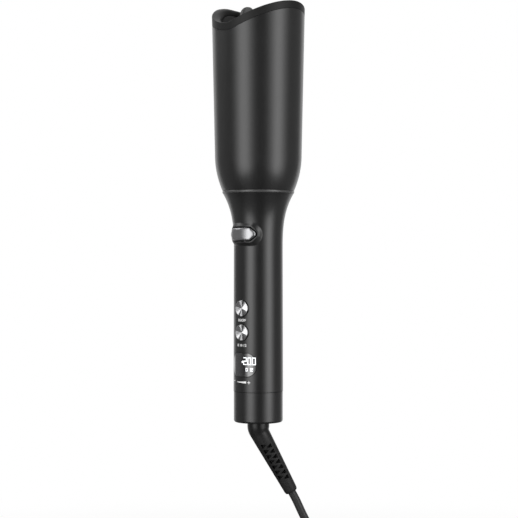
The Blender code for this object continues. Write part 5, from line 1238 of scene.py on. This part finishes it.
def eased(line):
    """Even steps along a closed line, with its kinks smoothed out."""
    even = evenly([Vector((u, z, 0)) for u, z in line], 0.75 * MM)[:-1]
    for _ in range(8):
        even = [(a + b * 2 + c) / 4 for a, b, c in threes(even)]
    return even


right_half, left_half = (rim_line(*petal) for petal in PETALS)
RIM = eased(right_half + [(GIRTH - u, z) for u, z in left_half[-2::-1]])


def rim_offset(distance):
    """The crown's line, moved square to itself into the wall, once round the head."""
    moved = []
    for before, point, after in threes(RIM):
        along = (after - before).normalized()
        spot = point + Vector((along.y, -along.x, 0)) * distance
        moved.append((spot.x, spot.y))
    return moved


def on_head(u, z, radius):
    return round_axis(u / HEAD_TOP_RADIUS, radius, z)


def crown_cutter():
    """All that lies above the trim's foot."""
    rows = []
    low, high, top = LINER_RADIUS - 3 * MM, HEAD_TOP_RADIUS + 3 * MM, CROWN_PEAK_Z + 3 * MM
    for u, z in rim_offset(TRIM_WIDTH + 0.12 * MM):
        corners = ((z, low), (z, high), (top, high), (top, low))
        rows.append([on_head(u, level, radius) for level, radius in corners])
    return skinned("crown_cutter", rows, ring=True)


print("crown line:", len(RIM), "points")

# %% Trim
TRIM_WIDTH, TRIM_LIP, TRIM_EDGE, MOUTH_DEPTH = 5.4 * MM, 1.5, 0.55, 4.4
# A level is its distance from the line, its share of the way in to the liner, and its shift.
trim_levels = [(5.4, 0, -0.2), (5.34, 0, -0.05), (5.2, 0, 0), (3.6, 0, 0), (1.8, 0, 0)]
trim_levels += [(TRIM_EDGE * (1 - s), 0, -TRIM_EDGE * (1 - c)) for c, s in arc(7)]
trim_levels += [(MOUTH_DEPTH * (1 - c) ** 1.2, s, -TRIM_LIP * (1 - s)) for c, s in arc(16)[1:]]
trim_levels += [(5.2, 1, 0), (5.4, 1, 0.2), (5.4, 0.5, -TRIM_LIP / 2)]
trim_rows = []
for distance, share, shift in trim_levels:
    row = []
    for u, z in rim_offset(distance * MM):
        radius = head_radius(z) * (1 - share) + LINER_RADIUS * share + shift * MM
        row.append(on_head(u, z, radius))
    trim_rows.append(row)
trim_mesh = skinned("trim", trim_rows, ring=True)
settle("crown_trim_band", trim_mesh, "housing", TRIM_BLACK, ["crown_trim"], sharp=50)

# %% Shell and liner
SPIGOT_FOOT_Z, SPIGOT_TOP_Z, SPIGOT_WALL = 160.5 * MM, 166.3 * MM, 1.6 * MM
bowl = [HEAD_FOOT_Z + BOWL_RISE * (1 - c) for c, s in arc(20)]
heights = bowl + list(np.linspace(BOWL_TOP_Z, CROWN_PEAK_Z, 40))[1:]
spigot = inside(handle_radius, SPIGOT_FOOT_Z, WALL) - 0.3 * MM
profile = [(head_radius(z), z) for z in reversed(heights)]
profile += [(spigot, HEAD_FOOT_Z), (spigot, SPIGOT_FOOT_Z)]
profile += [(spigot - SPIGOT_WALL, SPIGOT_FOOT_Z), (spigot - SPIGOT_WALL, SPIGOT_TOP_Z)]
inner = [SPIGOT_TOP_Z] + [z for z in heights if z > SPIGOT_TOP_Z + 0.3 * MM]
profile += [(inside(head_radius, z, HEAD_WALL), z) for z in inner]
shell_mesh = carved(turned("shell", profile, 160, 0.15 * MM), crown_cutter())
settle("head", shell_mesh, "housing", SATIN_BLACK, ["head_shell"], sharp=30)

profile = [(LINER_OUTER_RADIUS, z * MM) for z in (296.4, 240, 184)] + mm((7.4, 184), (7.4, 186))
profile += [(LINER_RADIUS, z * MM) for z in (186, 220, 260, 296.4)]
liner_mesh = carved(turned("liner", profile, 144, 0.15 * MM), crown_cutter())
settle(
    "chamber_cup", liner_mesh, "housing", LINER_GREY, ["chamber_liner"], sharp=30
)

# %% [markdown]
# ## Rotor
#
# Inside stands a ceramic-coated barrel on a turntable, closed by a domed cap with two claws
# that catch the hair and wind it round. A claw is a curved blade whose top is a superellipse,
# with every edge rounded so that hair can't snag.

# %% Turntable and barrel


def ceramic():
    """Sprayed ceramic on the barrel: a warm dark grey with a fine orange peel and pale flecks."""
    coat = Finish("ceramic_coat", ior=1.6)
    peel = coat.noise(1400.0, 3.0)
    flecks = coat.smooth(coat.noise(5200.0, 1.0), 0.62, 0.7)
    shade = coat.colours(flecks, (0.062, 0.058, 0.054, 1), (0.17, 0.16, 0.15, 1))
    skin = coat.bump(peel, 0.01 * MM)
    return coat.give(base_color=shade, roughness=peel * 0.1 + 0.27, normal=skin)


profile = mm((11.6, 199), (11.6, 189.5), (25.516, 189.5), (25.516, 187.3), (4.3, 187.3), (4.3, 199))
table = turned("turntable", profile, 128, 0.4 * MM)
settle("turntable", table, "rotor", ROTOR_BLACK, ["rotor_base"])
profile = mm((14, 272), (14, 230), (14, 189.8), (12, 189.8), (12, 272))
barrel = turned("barrel", profile, 128, 0.3 * MM)
settle("barrel", barrel, "rotor", ceramic(), ["curling_barrel"])

# %% Cap, claws and screw
CLAW_RADIUS, CLAW_WALL, CLAW_HALF_WIDTH, CLAW_EDGE = 21.5 * MM, 3.5 * MM, 8.0 * MM, 1.0 * MM
CLAW_FOOT_Z, CLAW_TOP_Z, CLAW_POWER = 273.6 * MM, 298.2 * MM, 2.7
CAP_DOME = ((1, 0), (0.94, 0.28), (0.86, 0.5), (0.74, 0.7), (0.62, 0.84), (0.5, 0.94), (0.4, 1))


def claw_mesh(angle):
    rows = []
    for share in np.sin(np.linspace(-QUARTER_TURN, QUARTER_TURN, 49)):
        rise = (1 - min(abs(share), 1) ** CLAW_POWER) ** (1 / CLAW_POWER)
        top = CLAW_FOOT_Z + max((CLAW_TOP_Z - CLAW_FOOT_Z) * rise, 2.2 * MM)
        soft = CLAW_EDGE * min(1, (1 - abs(share)) * 12 + 0.35)
        inner, outer = CLAW_RADIUS - CLAW_WALL + CLAW_EDGE, CLAW_RADIUS - CLAW_EDGE
        row = [(inner - soft, CLAW_FOOT_Z), (outer + soft, CLAW_FOOT_Z)]
        row += [(outer + soft * c, top - CLAW_EDGE * (1 - s)) for c, s in arc(6)]
        row += [(inner - soft * c, top - CLAW_EDGE * (1 - s)) for c, s in arc(6, QUARTER_TURN, 0)]
        place = math.radians(angle) + CLAW_HALF_WIDTH / CLAW_RADIUS * share
        rows.append([round_axis(place, r, z) for r, z in row])
    return skinned("claw", rows)


dome = [(out * CLAW_RADIUS, (274.9 + 2.6 * up) * MM) for out, up in CAP_DOME]
profile = mm((1.9, 277.5)) + dome[::-1]
profile += mm((21.5, 272.3), (11.6, 272.3), (11.6, 267.3), (1.9, 267.3))
cap_mesh = joined(turned("cap", profile, 128, 0.3 * MM), claw_mesh(115), claw_mesh(-115))
settle("cap_with_claws", cap_mesh, "rotor", ROTOR_BLACK, ["claw_cap"], sharp=40)

profile = mm((0, 279.2), (1.6, 279.14), (2.56, 278.95), (3.2, 278.4), (3.2, 277.8))
profile += mm((1.6, 277.8), (1.6, 267.3), (0, 267.3))
screw_mesh = turned("screw", profile, 48, 0.05 * MM, closed=False)
cross = []
for x, y in ((1.7, 0.35), (0.35, 1.7)):
    base = [(-x, -y), (x, -y), (x, y), (-x, y)]
    low = mm(*[(a * 0.6, b * 0.6, 278.1) for a, b in base])
    cross.append(skinned("cross", [low, mm(*[(a, b, 279.6) for a, b in base])]))
screw_mesh = carved(screw_mesh, *cross)
settle("cap_screw_head", screw_mesh, "rotor", STEEL, ["cap_screw"], sharp=30)

# %% [markdown]
# ## What stays inside
#
# Boards, chassis, motor and heater are hidden in use, so the model's own shapes are right for
# them. Each still gets the finish of its real counterpart, by assigning to its material slot.

# %% Finishes for the inner nodes


def board_green():
    """Solder mask over copper: tracks as slightly paler, raised lines."""
    coat = Finish("solder_mask", roughness=0.35)
    values = {"Vector": coat.place, "Scale": 420.0}
    cells = coat.add("ShaderNodeTexVoronoi", values, feature="DISTANCE_TO_EDGE")
    tracks = 1 - coat.smooth(cells, 0.04, 0.09)
    shade = coat.colours(tracks, (0.008, 0.075, 0.03, 1), (0.03, 0.19, 0.08, 1))
    return coat.give(base_color=shade, normal=coat.bump(tracks, 0.03 * MM))


INNER = {
    STEEL: "rocker_pin chassis_screw_1 chassis_screw_2 motor_can gearbox drive_shaft "
    "motor_screw_1 motor_screw_2 motor_screw_3",
    COPPER: "slip_ring_lower slip_ring_upper floor_bearing",
    ALUMINIUM: "motor_plate capacitor_large capacitor_small heater_block_rear heater_block_front",
    board_green(): "control_board power_board dial_encoder",
    INNER_GREY: "chassis swivel_retainer slip_ring_hub lcd_module",
    INNER_DARK: "tail_core rocker_switch power_switch timer_switch brush_block transformer",
    plastic("white_ceramic", 0.68, 0.5, grain=0.01 * MM): "ptc_heater",
}
for finish, names in INNER.items():
    for name in names.split():
        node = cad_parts[name]
        for holder in node.material_slots:
            holder.material = finish
        if not node.material_slots:
            node.data.materials.append(finish)
shown = sum(not node.hide_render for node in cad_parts.values())
print("inner nodes with a finish:", sum(len(n.split()) for n in INNER.values()), "of", shown)

# %% [markdown]
# ## Studio
#
# The tool was lit by two tall soft boxes, one on each side of the camera, and a smaller one high
# on the left, in a darker room with white paper behind it. Seen from the tool, the paper fills
# the space behind it, and that is what draws the thin bright rims. The world gives all of it:
# white to the camera, white behind and dim in front for reflections, and an even fill for
# everything matt. The floor is pale and keeps the shadow; further out it fades into the same
# white.

# %% World
BLACK, WHITE = (0, 0, 0, 1), (1, 1, 1, 1)
FILL = 0.36


def ray_kinds(bench):
    """Whether the camera, a mirrored ray or a ray through glass is looking."""
    outputs = bench.node("ShaderNodeLightPath").outputs
    kinds = ("Camera", "Glossy", "Transmission")
    return [Wire(bench, outputs[f"Is {kind} Ray"]) for kind in kinds]


def white_paper(bench, direction):
    """How far a level direction points away from the camera, and how much paper it meets."""
    behind = bench.towards(bench.vector("NORMALIZE", direction), -NEAR)
    return behind, bench.smooth(behind, 0.66, 0.84)


def studio_world():
    world = bpy.data.worlds.new("studio")
    world.use_nodes = True
    bpy.context.scene.world = world
    bench = Bench(world.node_tree)
    to_camera, glossy, through = ray_kinds(bench)
    direction = bench.add("ShaderNodeTexCoord", output="Generated")
    behind, paper = white_paper(bench, bench.vector("MULTIPLY", direction, (1, 1, 0)))
    steep = bench.maths("ABSOLUTE", bench.axes(direction)[2])
    side = bench.smooth(behind, -0.7, 0.2) * 0.2 + 0.05
    room = side * (1 - bench.smooth(steep, 0.3, 0.7) * 0.8)
    studio = paper * (1 - room) + room
    mirrored = (glossy + through) * (studio - FILL) + FILL
    light = bench.colours(to_camera * (1 - mirrored) + mirrored, BLACK, WHITE)
    bench.feed(world.node_tree.nodes["Background"], {"Color": light, "Strength": 1.0})


studio_world()

# %% Soft boxes
BOX_DISTANCE, BOX_HEIGHT, BOX_LIFT = 1.1, 2.2, 0.75
LEFT_BOX, RIGHT_BOX = -37.5, 51


def box_way(azimuth):
    """The level direction of a soft box, by its angle to the right of the camera."""
    turn = math.radians(azimuth)
    return NEAR * math.cos(turn) + SIDE * math.sin(turn)


def soft_box(name, azimuth, width, radiance, height=BOX_HEIGHT, lift=BOX_LIFT):
    """A tall soft box at an angle to the right of the camera, facing the tool."""
    light = with_settings(bpy.data.lights.new(name, "AREA"), shape="RECTANGLE", size_y=height)
    light.size = 2 * BOX_DISTANCE * math.tan(math.radians(width / 2))
    light.energy = radiance * math.pi * light.size * height
    thing = bpy.data.objects.new(name, light)
    away = box_way(azimuth)
    thing.location = away * BOX_DISTANCE + UP * lift
    thing.rotation_euler = away.to_track_quat("Z", "Y").to_euler()
    thing.visible_camera = False
    bpy.context.scene.collection.objects.link(thing)


# Each tall box is bright in its middle and fades towards its edges: three faces, one in another.
for name, azimuth, faces in (
    ("left", LEFT_BOX, ((24, 2.3), (38, 1.15), (54, 0.52))),
    ("right", RIGHT_BOX, ((20, 2.45), (36, 1.25), (54, 0.6))),
):
    for width, radiance in faces:
        soft_box(f"soft_box_{name}_{width}", azimuth, width, radiance)
soft_box("soft_box_high", -105, 26, 1.8, height=1.4, lift=1.15)
print("lights: 2 soft boxes of 3 faces, and a high one")

# %% Floor
FLOOR_RADIUS = 9


def glow(coat, colour, strength=1.0):
    return coat.add("ShaderNodeEmission", {"Color": colour, "Strength": strength})


def blend(coat, share, first, second):
    """One shader that turns into another."""
    return coat.add("ShaderNodeMixShader", {0: share, 1: first, 2: second})


def pale_floor():
    """Pale and matt near the tool. Far out it is the white paper, dim in its reflections, with
    painted reflections of the two soft boxes.
    """
    coat = Finish("studio_floor", roughness=0.9)
    coat.give(base_color=coat.colours(coat.noise(3.0), grey(0.84), grey(0.88)))
    to_camera, glossy, through = ray_kinds(coat)
    reach = coat.vector("LENGTH", coat.place, output="Value")
    far = coat.smooth(reach, 0.5, 1.5)
    behind, paper = white_paper(coat, coat.place)
    sides = coat.smooth(behind, -0.7, 0.2) * coat.smooth(reach, 0.3, 0.9) * 0.2 + 0.04
    # Painted reflections of the two soft boxes: reflected rays see the floor glow towards each box,
    # which brightens the tool's lower faces.
    for azimuth in (LEFT_BOX, RIGHT_BOX):
        painted_box_reflection = coat.towards(coat.vector("NORMALIZE", coat.place), box_way(azimuth))
        sides = sides + coat.smooth(painted_box_reflection, 0.85, 1.0) * 0.16
    reflected_room_and_painted_boxes = glow(coat, coat.colours(sides, BLACK, WHITE))
    matt = Wire(coat, coat.shader.outputs[0])
    near = coat.add("ShaderNodeAddShader", {0: matt, 1: glow(coat, WHITE, 0.3)})
    room = blend(coat, glossy * (1 - paper * far), near, reflected_room_and_painted_boxes)
    whole = blend(coat, far * (to_camera + (glossy + through) * paper), room, glow(coat, WHITE))
    coat.feed(coat.tree.nodes["Material Output"], {0: whole})
    return coat.material


edge = [(FLOOR_RADIUS * c, FLOOR_RADIUS * s, 0) for c, s in arc(97, 0, WHOLE_TURN)[:-1]]
floor = workpiece("floor", mesh_from("floor", edge, [range(len(edge))]))
floor.location.z = CAD_BOX[0][2] - 1 * MM
floor.data.materials.append(pale_floor())

# %% Last update and count
bpy.context.view_layer.update()
print("pieces made:", len(made_pieces))
